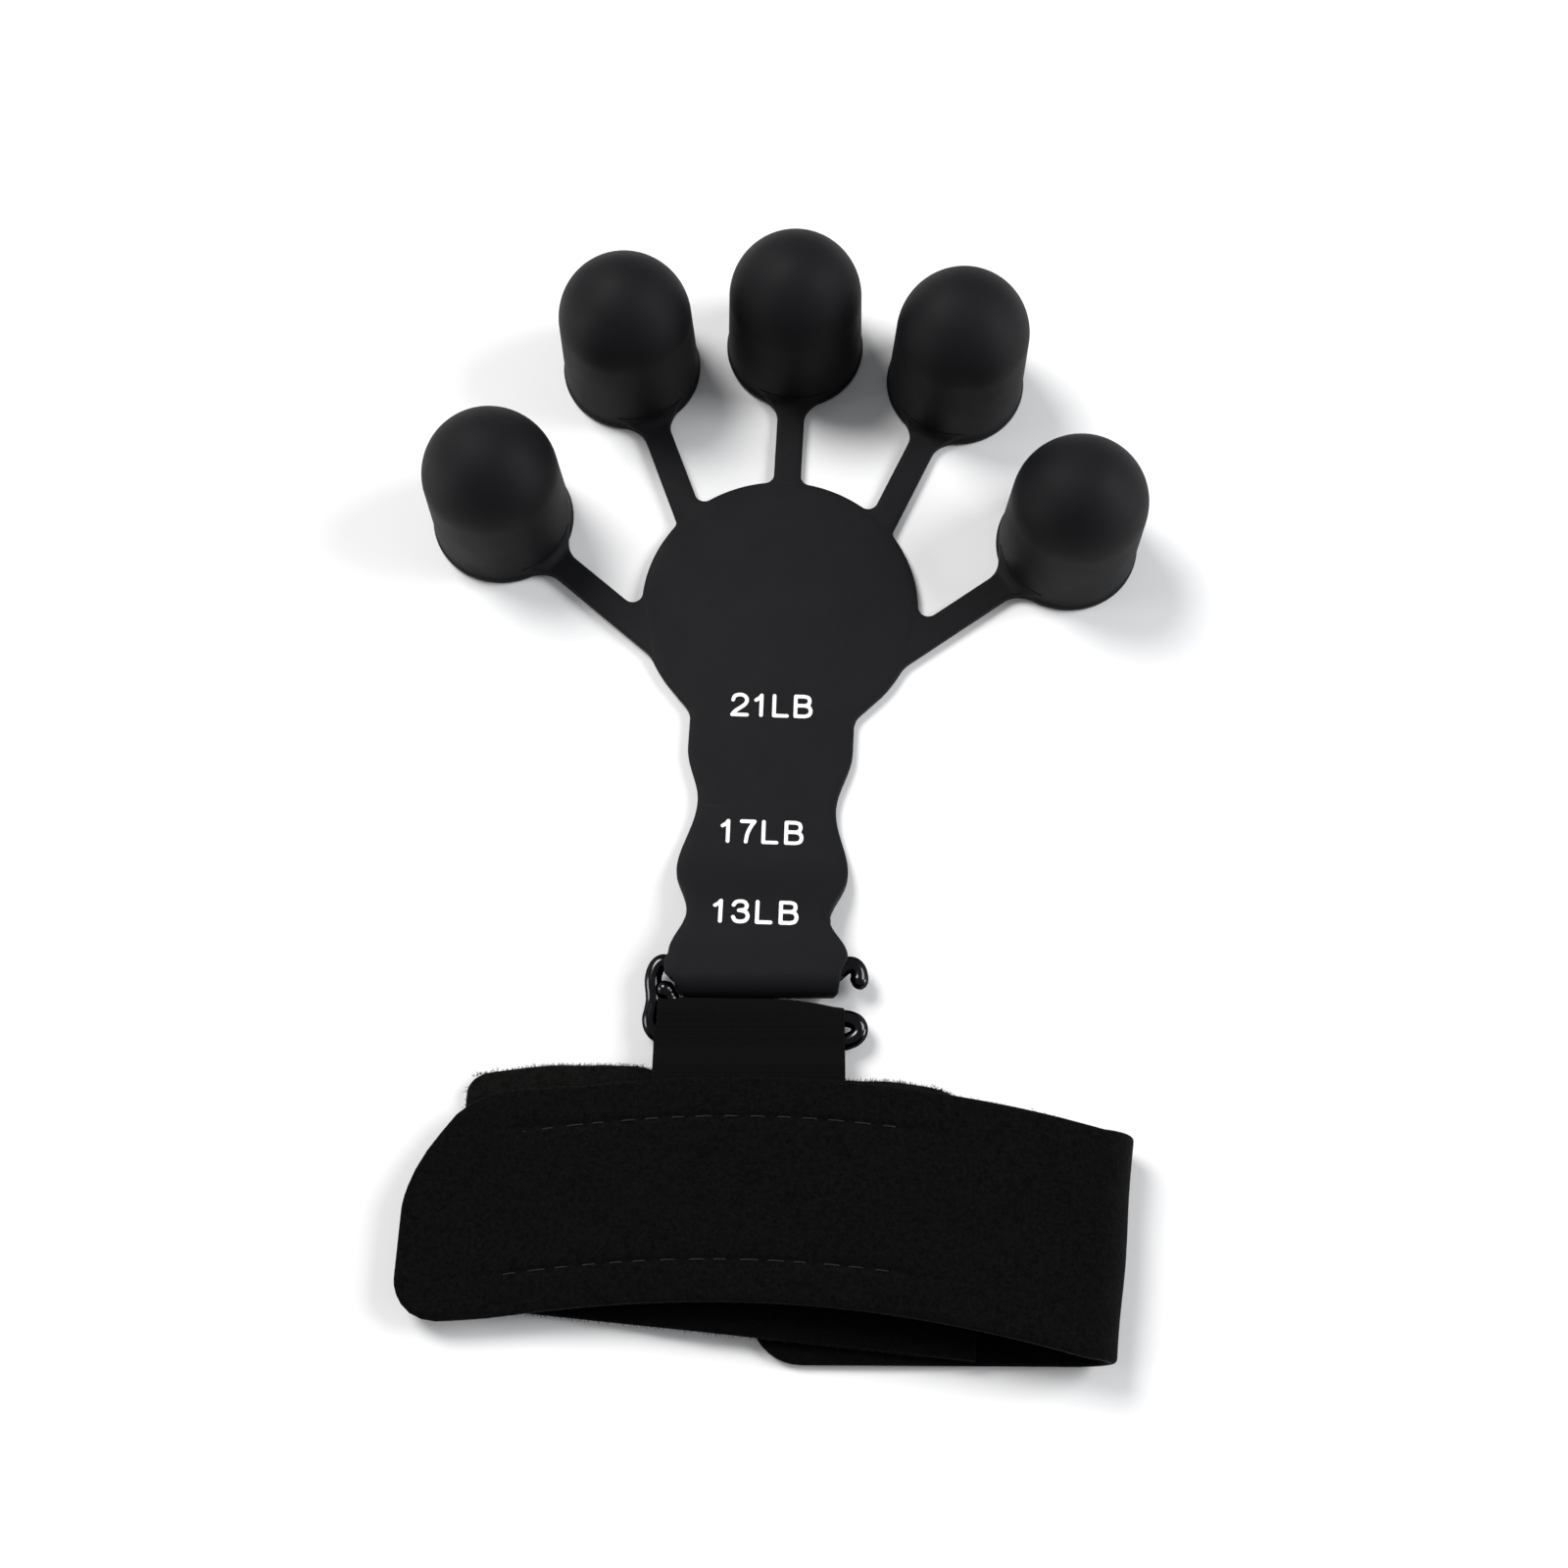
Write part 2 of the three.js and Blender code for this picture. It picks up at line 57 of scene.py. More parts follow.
# ---------------------------------------------------------------- dimensions, millimetres
SHEET = 1.8
EDGE_R = 0.45
PALM_R = 25.0
STRIP_HALF = 2.5
FAN = np.array([0.0, -25.0])  # where the strips' middle lines would meet
FINGERS = [
    ("far_left", -52.0, 65.6),
    ("left", -22.7, 79.0),
    ("middle", 0.0, 79.0),
    ("right", 22.7, 79.0),
    ("far_right", 52.0, 65.6),
]
ROOT_FILLET = 1.8
OUTER_FILLET = 6.0
NECK = {-1: 14.8, 1: 14.35}
NECK_CORNER, NECK_ROUND, FILLET_X = -21.0, 1.6, 19.2
WAIST_Y = -38.5
ARM_SIDES = {
    -1: [
        (-27.5, 14.8), (-37.5, 12.45), (-50.2, 15.2), (-58.4, 12.8), (-64.9, 15.3), (-66.6, 15.9),
        (-69, 15.7),
    ],
    1: [(-27, 14.35), (-38, 11.85), (-49.8, 14.4), (-59.2, 11.6), (-66, 14.9), (-68.7, 13.9)],
}
ARM_FLAT_Y, ARM_HIGH_Y, ARM_SPLIT_Y, TAIL_Y = -44.0, -64.2, -50.0, -56.0

HOOK_Y, TURN = -67.6, 3 * RAD
WIRE_R = 1.42
BAR_W, BAR_Z, WIRE_SLOPE = -1.0, 3.45, 0.075
WIRE_ROUTE = [
    (16.35, -3.05), (16.85, -2.1), (17.0, -0.95), (16.75, 0.1), (16.1, 0.8), (15.3, 0.95),
    (14.5, 0.55), (13.8, 0.0), (13.1, -0.6), (12.2, -0.97), (6, -1), (0, -1), (-6, -1),
    (-12.6, -1), (-13.6, -0.75), (-14.3, -0.1), (-14.8, 0.7), (-15.6, 1.3), (-16.5, 1.25),
    (-17.15, 0.65), (-17.55, -0.2), (-17.8, -1.3), (-17.8, -2.5), (-17.65, -3.8), (-17.6, -5.2),
    (-17.85, -6.7), (-18.15, -8.1), (-18.0, -9.3), (-17.4, -10.3), (-16.1, -11.1),
    (-13.5, -11.5), (-6, -11.65), (0, -11.75), (6, -11.95), (11, -12.2), (13.4, -12.2),
    (14.8, -11.97), (15.95, -11.5), (16.75, -10.7), (16.95, -9.7), (16.4, -8.75), (15.3, -8.25),
    (13.5, -8.0), (11.7, -7.8), (9, -7.45), (6, -7.2), (2, -7.1), (-6, -7.1), (-11.4, -7.1),
    (-13.05, -6.5), (-14.4, -5.3), (-15.3, -4.1), (-15.8, -3.0), (-15.9, -2.2),
]
WIRE_LIFT = [0.5, 1.3, 1.8]  # the inner end stands proud of the wire beside it

PLY, PLY_GAP = 0.8, 0.43
ELASTIC_U = (-17.5, 14.4)
FLEX_W, FLEX_Z, ELASTIC_END_W = -16.3, 5.2, -31.0
POCKET_W = -14.0
RIB = 1.0

STRAP = 2.0
STRAP_HALF = 17.8
FOLD_X, FOLD_Z, FOLD_LEAN = 61.45, 5.6, 0.077
TONGUE_TIP = -55.6
TONGUE_Z = [
    (55.85, 10.2), (35, 10.8), (15, 10.8), (-5, 9.2), (-22, 6.6), (-36, 4.9), (-47, 4.5),
    (TONGUE_TIP, 4.4),
]
LOWER_END = 1.5
STITCH_INSET = 6.5

# rounded edges: how far in from the edge, as shares of the edge's radius
EASE = np.array([0.0, 0.06, 0.22, 0.5, 1.0])


def arch(x):
    return -104.5 - (x - 5) ** 2 / 460


# ---------------------------------------------------------------- small helpers
def eased(pairs, x):
    """Piecewise values with a flat tangent at each pair."""
    pairs = sorted(pairs)
    if x <= pairs[0][0]:
        return pairs[0][1]
    for (x0, v0), (x1, v1) in zip(pairs, pairs[1:]):
        if x <= x1:
            return v0 + (v1 - v0) * (1 - math.cos(math.pi * (x - x0) / (x1 - x0))) / 2
    return pairs[-1][1]


def catmull(points, count):
    """Centripetal Catmull-Rom through the points."""
    p = np.asarray(points, float)
    p = np.vstack([2 * p[0] - p[1], p, 2 * p[-1] - p[-2]])
    out = []
    last = len(p) - 3
    for q in np.linspace(0, last, count):
        i = min(int(q), last - 1)
        w = q - i
        a, b, c, d = p[i], p[i + 1], p[i + 2], p[i + 3]
        d0, d1, d2 = (max(math.sqrt(np.linalg.norm(v)), 1e-4) for v in (b - a, c - b, d - c))
        t1 = ((b - a) / d0 - (c - a) / (d0 + d1) + (c - b) / d1) * d1
        t2 = ((c - b) / d1 - (d - b) / (d1 + d2) + (d - c) / d2) * d1
        square, cube = -3 * b + 3 * c - 2 * t1 - t2, 2 * b - 2 * c + t1 + t2
        out.append(b + t1 * w + square * w**2 + cube * w**3)
    return np.array(out)


def hook(u, w, z):
    """A point of the hook's own frame, in the part's frame."""
    c, s = math.cos(TURN), math.sin(TURN)
    return np.array([u * c - w * s, HOOK_Y + u * s + w * c, z])


def wire_z(w):
    return BAR_Z + WIRE_SLOPE * (w - BAR_W)


def metres(p):
    return tuple(float(v) / 1000 for v in p)


def add_object(name, data):
    obj = bpy.data.objects.new(name, data)
    bpy.context.scene.collection.objects.link(obj)
    return obj


def shaded(name, mesh, sharp):
    """The mesh as an object, smooth except across edges sharper than this many degrees."""
    mesh.polygons.foreach_set("use_smooth", [True] * len(mesh.polygons))
    mesh.set_sharp_from_angle(angle=sharp * RAD)
    return add_object(name, mesh)


def make(name, verts, faces, material, sharp=38, extra=None, face_slots=None):
    """A smooth-shaded mesh object from millimetre points."""
    mesh = bpy.data.meshes.new(name)
    mesh.from_pydata([metres(v) for v in verts], [], faces)
    mesh.materials.append(material)
    if extra is not None:
        mesh.materials.append(extra)
    if face_slots is not None:
        mesh.polygons.foreach_set("material_index", face_slots)
    bm = bmesh.new()
    bm.from_mesh(mesh)
    bmesh.ops.recalc_face_normals(bm, faces=bm.faces)
    bm.to_mesh(mesh)
    bm.free()
    return shaded(name, mesh, sharp)


def loft(rings, caps=True):
    """Quads between equal closed rings, with both ends capped."""
    n, m = len(rings[0]), len(rings)
    faces = []
    for at in range(0, (m - 1) * n, n):
        for j in range(n):
            k = (j + 1) % n
            faces.append((at + j, at + k, at + n + k, at + n + j))
    if caps:
        faces.append(tuple(range(n))[::-1])
        faces.append(tuple((m - 1) * n + j for j in range(n)))
    return np.concatenate(rings), faces


def drop(inset, radius):
    """How far a rounded edge has fallen, this far in from the edge."""
    e = np.minimum(inset, radius)
    return radius - np.sqrt(np.maximum(radius**2 - (radius - e) ** 2, 0))


def columns(width, radius, inner):
    """Distances across a band. inner is a count, or distances that are scaled to fit."""
    edge = radius * EASE
    if np.isscalar(inner):
        middle = np.linspace(radius, width - radius, inner + 2)[1:-1]
    else:
        full = 2 * STRAP_HALF
        middle = radius + (np.asarray(inner) - radius) * (width - 2 * radius) / (full - 2 * radius)
    return np.concatenate([edge, middle, width - edge[::-1]])


def band_ring(near, far, normal, inset, thick, radius, inner, shape=None):
    """One closed ring of a band. inset is the distance from the band's end."""
    near, far, normal = (np.asarray(v, float) for v in (near, far, normal))
    width = np.linalg.norm(far - near)
    c = columns(width, radius, inner)
    h = thick / 2 - drop(np.minimum(np.minimum(c, width - c), inset), radius)
    mid = near + (far - near) * (c / width)[:, None]
    up, down = h.copy(), h.copy()
    if shape is not None:
        up, down = shape(mid, c, width, up, down)
    top = mid + normal * up[:, None]
    bottom = mid - normal * down[:, None]
    return np.concatenate([top, bottom[::-1]])


def curve_frames(points):
    """Unit tangents of a polyline."""
    d = np.gradient(points, axis=0)
    return d / np.linalg.norm(d, axis=1)[:, None]


def tube(points, radius, sides, taper=None):
    """Rings of a tube along the points, carried along without twist."""
    t = curve_frames(points)
    up = np.cross(t[0], (0.0, 0.0, 1.0))
    up /= np.linalg.norm(up)
    rings = []
    for i, p in enumerate(points):
        up = up - t[i] * (up @ t[i])
        up /= np.linalg.norm(up)
        side = np.cross(t[i], up)
        r = radius * (1 if taper is None else taper[i])
        a = np.linspace(0, 2 * math.pi, sides, endpoint=False)[:, None]
        rings.append(p + r * (np.cos(a) * up + np.sin(a) * side))
    return rings


def distances(points):
    """Distance along a polyline at each of its points."""
    return np.concatenate([[0], np.cumsum(np.linalg.norm(np.diff(points, axis=0), axis=1))])


def sampled(values, at, q):
    """The rows of values, which lie at distances at, interpolated to distances q."""
    return np.column_stack([np.interp(q, at, column) for column in values.T])


def joined(parts):
    """Several (verts, faces) as one."""
    verts, faces, at = [], [], 0
    for v, f in parts:
        verts.append(v)
        faces.extend(tuple(i + at for i in face) for face in f)
        at += len(v)
    return np.concatenate(verts), faces


# ---------------------------------------------------------------- materials
WAVE_RATE = 20  # radians per unit of a wave texture at scale 1


class Nodes:
    """A short way to write a node tree."""

    def __init__(self, name):
        self.material = bpy.data.materials.new(name)
        self.material.use_nodes = True
        self.tree = self.material.node_tree
        self.tree.nodes.clear()
        out = self.tree.nodes.new("ShaderNodeOutputMaterial")
        self.shader = self.tree.nodes.new("ShaderNodeBsdfPrincipled")
        self.link(self.shader.outputs[0], out.inputs[0])
        self.coord = self.tree.nodes.new("ShaderNodeTexCoord").outputs["Object"]

    def link(self, a, b):
        self.tree.links.new(a, b)

    def node(self, kind, inputs, result=0, **settings):
        """One output of a new node. Inputs are values, or sockets to link."""
        n = self.tree.nodes.new("ShaderNode" + kind)
        for key, value in settings.items():
            setattr(n, key, value)
        for key, value in inputs.items():
            if isinstance(value, bpy.types.NodeSocket):
                self.link(value, n.inputs[key])
            else:
                n.inputs[key].default_value = value
        return n.outputs[result]

    def noise(self, feature_mm, detail=2.0, rough=0.55, distort=0.0):
        inputs = {"Vector": self.coord, "Scale": 1000 / feature_mm, "Detail": detail}
        inputs.update({"Roughness": rough, "Distortion": distort})
        return self.node("TexNoise", inputs, "Fac")

    def cells(self, feature_mm):
        inputs = {"Vector": self.coord, "Scale": 1000 / feature_mm}
        return self.node("TexVoronoi", inputs, "Distance")

    def wave(self, pitch_mm, axis, turn=0.0, distort=0.0):
        place = self.node("Mapping", {"Vector": self.coord, "Rotation": (0, 0, turn)})
        inputs = {"Vector": place, "Scale": 1000 / pitch_mm / WAVE_RATE * 2 * math.pi}
        inputs.update({"Distortion": distort, "Detail": 2, "Detail Scale": 2})
        return self.node("TexWave", inputs, "Fac", bands_direction=axis)

    def ramp(self, value, low, high, a=0.0, b=1.0):
        inputs = dict(enumerate((value, low, high, a, b)))
        return self.node("MapRange", inputs, clamp=True)

    def math(self, operation, a, b):
        return self.node("Math", {0: a, 1: b}, operation=operation)

    def weighted(self, a, share_a, b, share_b):
        return self.math(
            "ADD", self.math("MULTIPLY", a, share_a), self.math("MULTIPLY", b, share_b)
        )

    def spread(self, value, a, b):
        """A noise's usual range, as a to b."""
        return self.ramp(value, 0.3, 0.7, a, b)

    def colours(self, value, a, b):
        first = a if isinstance(a, bpy.types.NodeSocket) else (*a, 1)
        return self.node("Mix", {0: value, 6: first, 7: (*b, 1)}, 2, data_type="RGBA")

    def bump(self, height, distance_mm, strength=1.0, under=None):
        inputs = {"Height": height, "Distance": distance_mm / 1000, "Strength": strength}
        if under is not None:
            inputs["Normal"] = under
        return self.node("Bump", inputs)

    def upward(self):
        """How much the surface faces up, from -1 to 1."""
        return self.node("SeparateXYZ", {0: self.node("NewGeometry", {}, "Normal")}, 2)

    def finish(self, colour, roughness, normal, **values):
        self.link(colour, self.shader.inputs["Base Color"])
        self.link(roughness, self.shader.inputs["Roughness"])
        self.link(normal, self.shader.inputs["Normal"])
        for key, value in values.items():
            self.shader.inputs[key.replace("_", " ")].default_value = value
        return self.material


def silicone_material():
    n = Nodes("silicone")
    cloud = n.noise(9, 3)
    grain = n.noise(0.5, 2)
    tone = n.weighted(cloud, 0.6, grain, 0.4)
    base = n.colours(n.spread(tone, 0, 1), (0.0024, 0.0025, 0.0032), (0.0042, 0.0043, 0.0053))
    # a thin bloom of dust lies on what faces up; the same mask also paints the upward faces
    # lighter, as painted light from above
    facing = n.ramp(n.upward(), 0.1, 1.0)
    dust_and_painted_light = n.math("MULTIPLY", facing, n.ramp(n.noise(2.5, 4), 0.25, 0.8, 0.55, 1.0))
    colour = n.colours(n.math("MULTIPLY", dust_and_painted_light, 0.22), base, (0.012, 0.0123, 0.015))
    fine = n.bump(grain, 0.02, 0.5)
    soft = n.bump(n.noise(2.2, 2), 0.03, 0.35, fine)
    return n.finish(colour, n.spread(cloud, 0.58, 0.7), soft, IOR=1.41, Specular_IOR_Level=0.2)


def mark_material():
    n = Nodes("mark_print")
    worn = n.ramp(n.noise(0.35, 3), 0.28, 0.4)
    colour = n.colours(worn, (0.62, 0.62, 0.63), (0.92, 0.92, 0.92))
    rough = n.spread(n.noise(0.6), 0.45, 0.6)
    return n.finish(colour, rough, n.bump(n.noise(0.25), 0.01, 0.4))


def wire_material():
    n = Nodes("wire_coating")
    flow = n.noise(1.4, 2)
    scuff = n.ramp(n.noise(0.5, 4, 0.7), 0.66, 0.8)
    colour = n.colours(scuff, (0.04, 0.04, 0.043), (0.065, 0.065, 0.068))
    rough = n.math("ADD", n.spread(flow, 0.1, 0.2), n.math("MULTIPLY", scuff, 0.2))
    tint = (0.02, 0.02, 0.02, 1)
    return n.finish(colour, rough, n.bump(flow, 0.04, 0.3), Metallic=1.0, Specular_Tint=tint)


def elastic_material():
    n = Nodes("elastic_knit")
    wales = n.wave(0.55, "X", -TURN, 0.6)
    courses = n.wave(RIB / 3, "Y", -TURN, 0.5)
    knit = n.math("MULTIPLY", wales, courses)
    fuzz = n.noise(0.22, 3)
    tone = n.weighted(knit, 0.55, fuzz, 0.45)
    colour = n.colours(n.ramp(tone, 0.15, 0.7), (0.0009, 0.0009, 0.0011), (0.0031, 0.003, 0.0034))
    normal = n.bump(fuzz, 0.05, 0.5, n.bump(knit, 0.09, 0.8))
    return n.finish(
        colour, n.spread(fuzz, 0.7, 0.95), normal,
        Specular_IOR_Level=0.07, Sheen_Weight=0.012, Sheen_Roughness=0.5,
    )


def fabric_material(name, dark, light, sheen):
    n = Nodes(name)
    loops = n.cells(0.42)
    fibre = n.noise(0.3, 3, 0.6, distort=0.6)
    patch = n.noise(6, 3)
    tufts = n.noise(0.8, 2, 0.6, distort=0.4)
    pile = n.weighted(loops, 0.3, fibre, 0.4)
    tone = n.math("ADD", pile, n.math("MULTIPLY", tufts, 0.9))
    tone = n.weighted(tone, 0.75, patch, 0.2)
    colour = n.colours(n.ramp(tone, 0.5, 0.85), dark, light)
    normal = n.bump(fibre, 0.12, 0.7, n.bump(loops, 0.12, 0.6, n.bump(tufts, 0.3, 0.7)))
    return n.finish(
        colour, n.spread(patch, 0.82, 0.98), normal,
        Specular_IOR_Level=0.05, Sheen_Weight=sheen, Sheen_Roughness=0.6,
    )


def thread_material():
    n = Nodes("stitch_thread")
    twist = n.wave(0.35, "DIAGONAL", 0.3, 0.2)
    colour = n.colours(twist, (0.003, 0.003, 0.0034), (0.0085, 0.0085, 0.009))
    rough = n.spread(n.noise(0.3), 0.5, 0.7)
    return n.finish(colour, rough, n.bump(twist, 0.05, 0.7), Specular_IOR_Level=0.25)


def foam_and_highlight_edge_material():
    n = Nodes("foam_and_painted_highlight_edge")
    cells = n.noise(0.35, 3, 0.7)
    # the cut edge is painted lighter: partly its foam core, partly a painted highlight of the edge
    # catching light
    colour = n.colours(n.spread(cells, 0, 1), (0.008, 0.008, 0.0085), (0.024, 0.0235, 0.024))
    rough = n.spread(cells, 0.75, 0.95)
    return n.finish(colour, rough, n.bump(cells, 0.12, 0.7), Specular_IOR_Level=0.15)


def tape_material():
    n = Nodes("hook_tape_ground")
    weave = n.math("MULTIPLY", n.wave(0.7, "X"), n.wave(0.7, "Y"))
    colour = n.colours(weave, (0.007, 0.007, 0.008), (0.02, 0.02, 0.022))
    return n.finish(colour, n.spread(n.noise(0.5), 0.5, 0.75), n.bump(weave, 0.1, 0.8))


SILICONE = silicone_material()
MARK = mark_material()
WIRE = wire_material()
ELASTIC = elastic_material()
FABRIC = fabric_material("loop_fabric", (0.0003, 0.0003, 0.0004), (0.0036, 0.0034, 0.0034), 0.006)
PLUSH = fabric_material("plush_fabric", (0.0006, 0.0006, 0.0006), (0.0058, 0.0055, 0.0051), 0.02)
# a darker copy of the loop fabric: painted shade inside the loop and under the tongue
PAINTED_SHADE_FABRIC = fabric_material("painted_shade_fabric", (0.0003, 0.0003, 0.0003), (0.0022, 0.002, 0.0018), 0.003)
THREAD = thread_material()
FOAM_AND_HIGHLIGHT_EDGE = foam_and_highlight_edge_material()
TAPE = tape_material()


# ---------------------------------------------------------------- silicone hand: flat pieces
def to_world(points, angle):
    """From a strip's own frame, x across and y along from the fan's centre."""
    a = angle * RAD
    p = np.asarray(points, float)
    x, y = p[..., 0], p[..., 1]
    return np.stack([x * math.cos(a) + y * math.sin(a), -x * math.sin(a) + y * math.cos(a)], -1)


def strip_edge(angle, side):
    """One side of a strip's root: the disc's tangent point, the fillet, and the strip's edge.

    side is 1 for the edge at larger x across the strip. The points run outwards.
    """
    rho = OUTER_FILLET if side * angle > 30 else ROOT_FILLET
    a = angle * RAD
    disc = np.array([-PALM_R * math.sin(a), PALM_R * math.cos(a)])
    fx = side * (STRIP_HALF + rho)
    fy = disc[1] + math.sqrt((PALM_R + rho) ** 2 - (fx - disc[0]) ** 2)
    centre = np.array([fx, fy])
    start = math.atan2(*(disc - centre)[::-1])
    end = math.pi if side > 0 else 0.0
    turn = (end - start + math.pi) % (2 * math.pi) - math.pi
    count = max(6, int(abs(turn) * rho / 0.35))
    angles = start + turn * np.linspace(0, 1, count + 1)
    unit = np.stack([np.cos(angles), np.sin(angles)], 1)
    return centre + rho * unit, unit


def strip_bends(angle):
    """Where a strip's bend starts and ends, and where root and cup meet, from the fan's centre."""
    a = abs(angle) * RAD
    flex = 50 * math.cos(a) + 1.6 + 2.5 * math.tan(a)
    return flex - 0.4, flex + 4.4, flex + 4.7


def root_sides(angle, cut):
    """The two free edges of a strip's root in the part's frame, each running outwards."""
    sides = []
    for side in (1, -1):
        p, n = strip_edge(angle, side)
        if p[-1][1] < cut:
            rest = np.linspace(p[-1][1], cut, max(2, int((cut - p[-1][1]) / 0.7)) + 1)[1:]
            p = np.vstack([p, [[side * STRIP_HALF, y] for y in rest]])
            n = np.vstack([n, [[-side, 0.0]] * len(rest)])
        sides.append((to_world(p, angle) + FAN, to_world(n, angle)))
    return sides


def inside(poly, points):
    x, y = points[:, 0], points[:, 1]
    hit = np.zeros(len(points), bool)
    for (x0, y0), (x1, y1) in zip(poly, np.roll(poly, -1, 0)):
        crosses = (y0 > y) != (y1 > y)
        if y1 != y0:
            hit ^= crosses & (x < (x1 - x0) * (y - y0) / (y1 - y0) + x0)
    return hit


def fill(poly, spacing):
    """Triangles over a polygon, with points inside it so that it can bend."""
    low, high = poly.min(0), poly.max(0)
    rows = np.arange(low[1] + spacing / 2, high[1], spacing * 0.87)
    grid = [
        (x + (spacing / 2 if j % 2 else 0), y)
        for j, y in enumerate(rows)
        for x in np.arange(low[0], high[0], spacing)
    ]
    grid = np.array(grid)
    a, b = poly, np.roll(poly, -1, 0)
    d = b - a
    t = ((grid[:, None] - a) * d).sum(-1) / np.maximum((d * d).sum(-1), 1e-12)
    gap = np.linalg.norm(grid[:, None] - a - np.clip(t, 0, 1)[..., None] * d, axis=-1).min(1)
    grid = grid[inside(poly, grid) & (gap > spacing * 0.45)]
    points = np.vstack([poly, grid])
    outline = [list(range(len(poly)))]
    v, _, f, origin, _, _ = delaunay_2d_cdt([Vector(p) for p in points], [], outline, 1, 1e-6)
    index = [o[0] if o else -1 for o in origin]
    assert -1 not in index and len(v) == len(points)
    return grid, [tuple(index[i] for i in face) for face in f]


def slab(chains, spacing):
    """A flat rounded-edge plate. chains are its free edges in order; straight seams join them."""
    points = np.concatenate([c[0] for c in chains])
    normals = np.concatenate([c[1] for c in chains])
    count = len(points)
    insets = EDGE_R * np.concatenate([EASE[::-1], EASE])
    falls = drop(insets, EDGE_R)
    heights = np.where(np.arange(len(insets)) < len(EASE), SHEET - falls, falls)
    levels = [
        np.column_stack([points + normals * i, np.full(count, h)]) for i, h in zip(insets, heights)
    ]
    grid, faces2 = fill(points + normals * EDGE_R, spacing)
    m = len(levels)
    top0 = m * count
    levels += [np.column_stack([grid, np.full(len(grid), z)]) for z in (SHEET, 0.0)]
    verts = np.concatenate(levels)
    faces = []
    starts = np.cumsum([0] + [len(c[0]) for c in chains])
    for s, e in zip(starts, starts[1:]):
        for i in range(s, e - 1):
            for at in range(i, i + (m - 1) * count, count):
                faces.append((at, at + 1, at + count + 1, at + count))
        seam = [k * count + e - 1 for k in range(m)]
        seam += [k * count + e % count for k in reversed(range(m))]
        faces.append(tuple(seam))
    for face in faces2:
        faces.append(tuple(i if i < count else top0 + i - count for i in face))
        under = [i + (m - 1) * count if i < count else top0 + len(grid) + i - count for i in face]
        faces.append(tuple(reversed(under)))
    return verts, faces


def arc(a0, a1, step=0.7):
    """Points of the palm's rim from one angle to another, with their inward normals."""
    count = max(2, int(abs(a1 - a0) * PALM_R / step))
    t = np.linspace(a0, a1, count + 1)
    unit = np.stack([np.cos(t), np.sin(t)], 1)
    return PALM_R * unit, -unit


def neck(side):
    """One edge from the waist up to the palm's rim, with normals towards the middle."""
    half = NECK[side]
    rim = math.acos(FILLET_X / PALM_R)
    end = np.array([FILLET_X, -PALM_R * math.sin(rim)])
    pts = [(eased(ARM_SIDES[side], y), y) for y in np.linspace(WAIST_Y, -27, 19)]
    pts += [(half, y) for y in np.linspace(-26.2, NECK_CORNER - NECK_ROUND, 5)]
    corner = np.array([half, NECK_CORNER])
    after = corner + (end - corner) * NECK_ROUND / 1.6 / (FILLET_X - half)
    a = np.array([half, NECK_CORNER - NECK_ROUND])
    for t in np.linspace(0, 1, 9)[1:]:
        pts.append(tuple((1 - t) ** 2 * a + 2 * t * (1 - t) * corner + t * t * after))
    pts += [tuple(after + (end - after) * t) for t in np.linspace(0, 1, 7)[1:]]
    pts = np.array(pts)
    d = np.gradient(pts, axis=0)
    d[0] = (0, 1)
    d[-1] = (math.sin(rim), math.cos(rim))
    d /= np.linalg.norm(d, axis=1)[:, None]
    return pts * (side, 1), np.stack([-d[:, 1], d[:, 0]], 1) * (side, 1), -rim


def palm_chains():
    """The palm's free edges, counter-clockwise from the right side of the waist."""
    up, up_n, at = neck(1)
    chains = []
    points, normals = [up], [up_n]
    for _, angle, _ in reversed(FINGERS):
        (right, _), (left, left_n) = root_sides(angle, strip_bends(angle)[2])
        a = math.atan2(right[0][1], right[0][0])
        if a < at:
            a += 2 * math.pi
        p, n = arc(at, a)
        points.append(p[1:])
        normals.append(n[1:])
        chains.append((np.concatenate(points), np.concatenate(normals)))
        points, normals = [left[:1]], [left_n[:1]]
        at = math.atan2(left[0][1], left[0][0])
        if at < a - 0.01:
            at += 2 * math.pi
    p, n = arc(at, math.pi + math.acos(FILLET_X / PALM_R))
    points.append(p[1:])
    normals.append(n[1:])
    down, down_n, _ = neck(-1)
    points.append(down[::-1][1:])
    normals.append(down_n[::-1][1:])
    chains.append((np.concatenate(points), np.concatenate(normals)))
    return chains


skin_palm = make("skin_palm", *slab(palm_chains(), 1.5), SILICONE, 30)

finger_pieces = {}
for name, angle, _ in FINGERS:
    (right, right_n), (left, left_n) = root_sides(angle, strip_bends(angle)[2])
    chains = [(right, right_n), (left[::-1], left_n[::-1])]
    finger_pieces[name] = make(f"skin_root_{name}", *slab(chains, 0.9), SILICONE, 30)


# ---------------------------------------------------------------- finger cups
CUP_R, MOUTH_R, FLARE_START = 12.6, 10.4, 16
DOME_R, DOME_INNER_R, DOME_Z, WALL_TAPER = 12, 9.8, 17.8, 0.6
WEB_HALF_ANGLE, WEB_FILLET = 30 * RAD, 1.7


def flare_rows():
    """(radius, half angle) of the flare's rows, from its start into the cup's wall."""
    x, y = CUP_R * math.sin(WEB_HALF_ANGLE), -CUP_R * math.cos(WEB_HALF_ANGLE)
    ctrl = y - (x - STRIP_HALF) * math.tan(WEB_HALF_ANGLE)
    rows = []
    for s in np.linspace(0, 1, 13):
        bx = (1 - s) ** 2 * STRIP_HALF + 2 * s * (1 - s) * STRIP_HALF + s * s * x
        by = (1 - s) ** 2 * -FLARE_START + 2 * s * (1 - s) * ctrl + s * s * y
        rows.append((math.hypot(bx, by), math.atan2(bx, -by)))
    return rows + [(r, WEB_HALF_ANGLE) for r in (12.35, 12.1, 11.8, 11.4)]


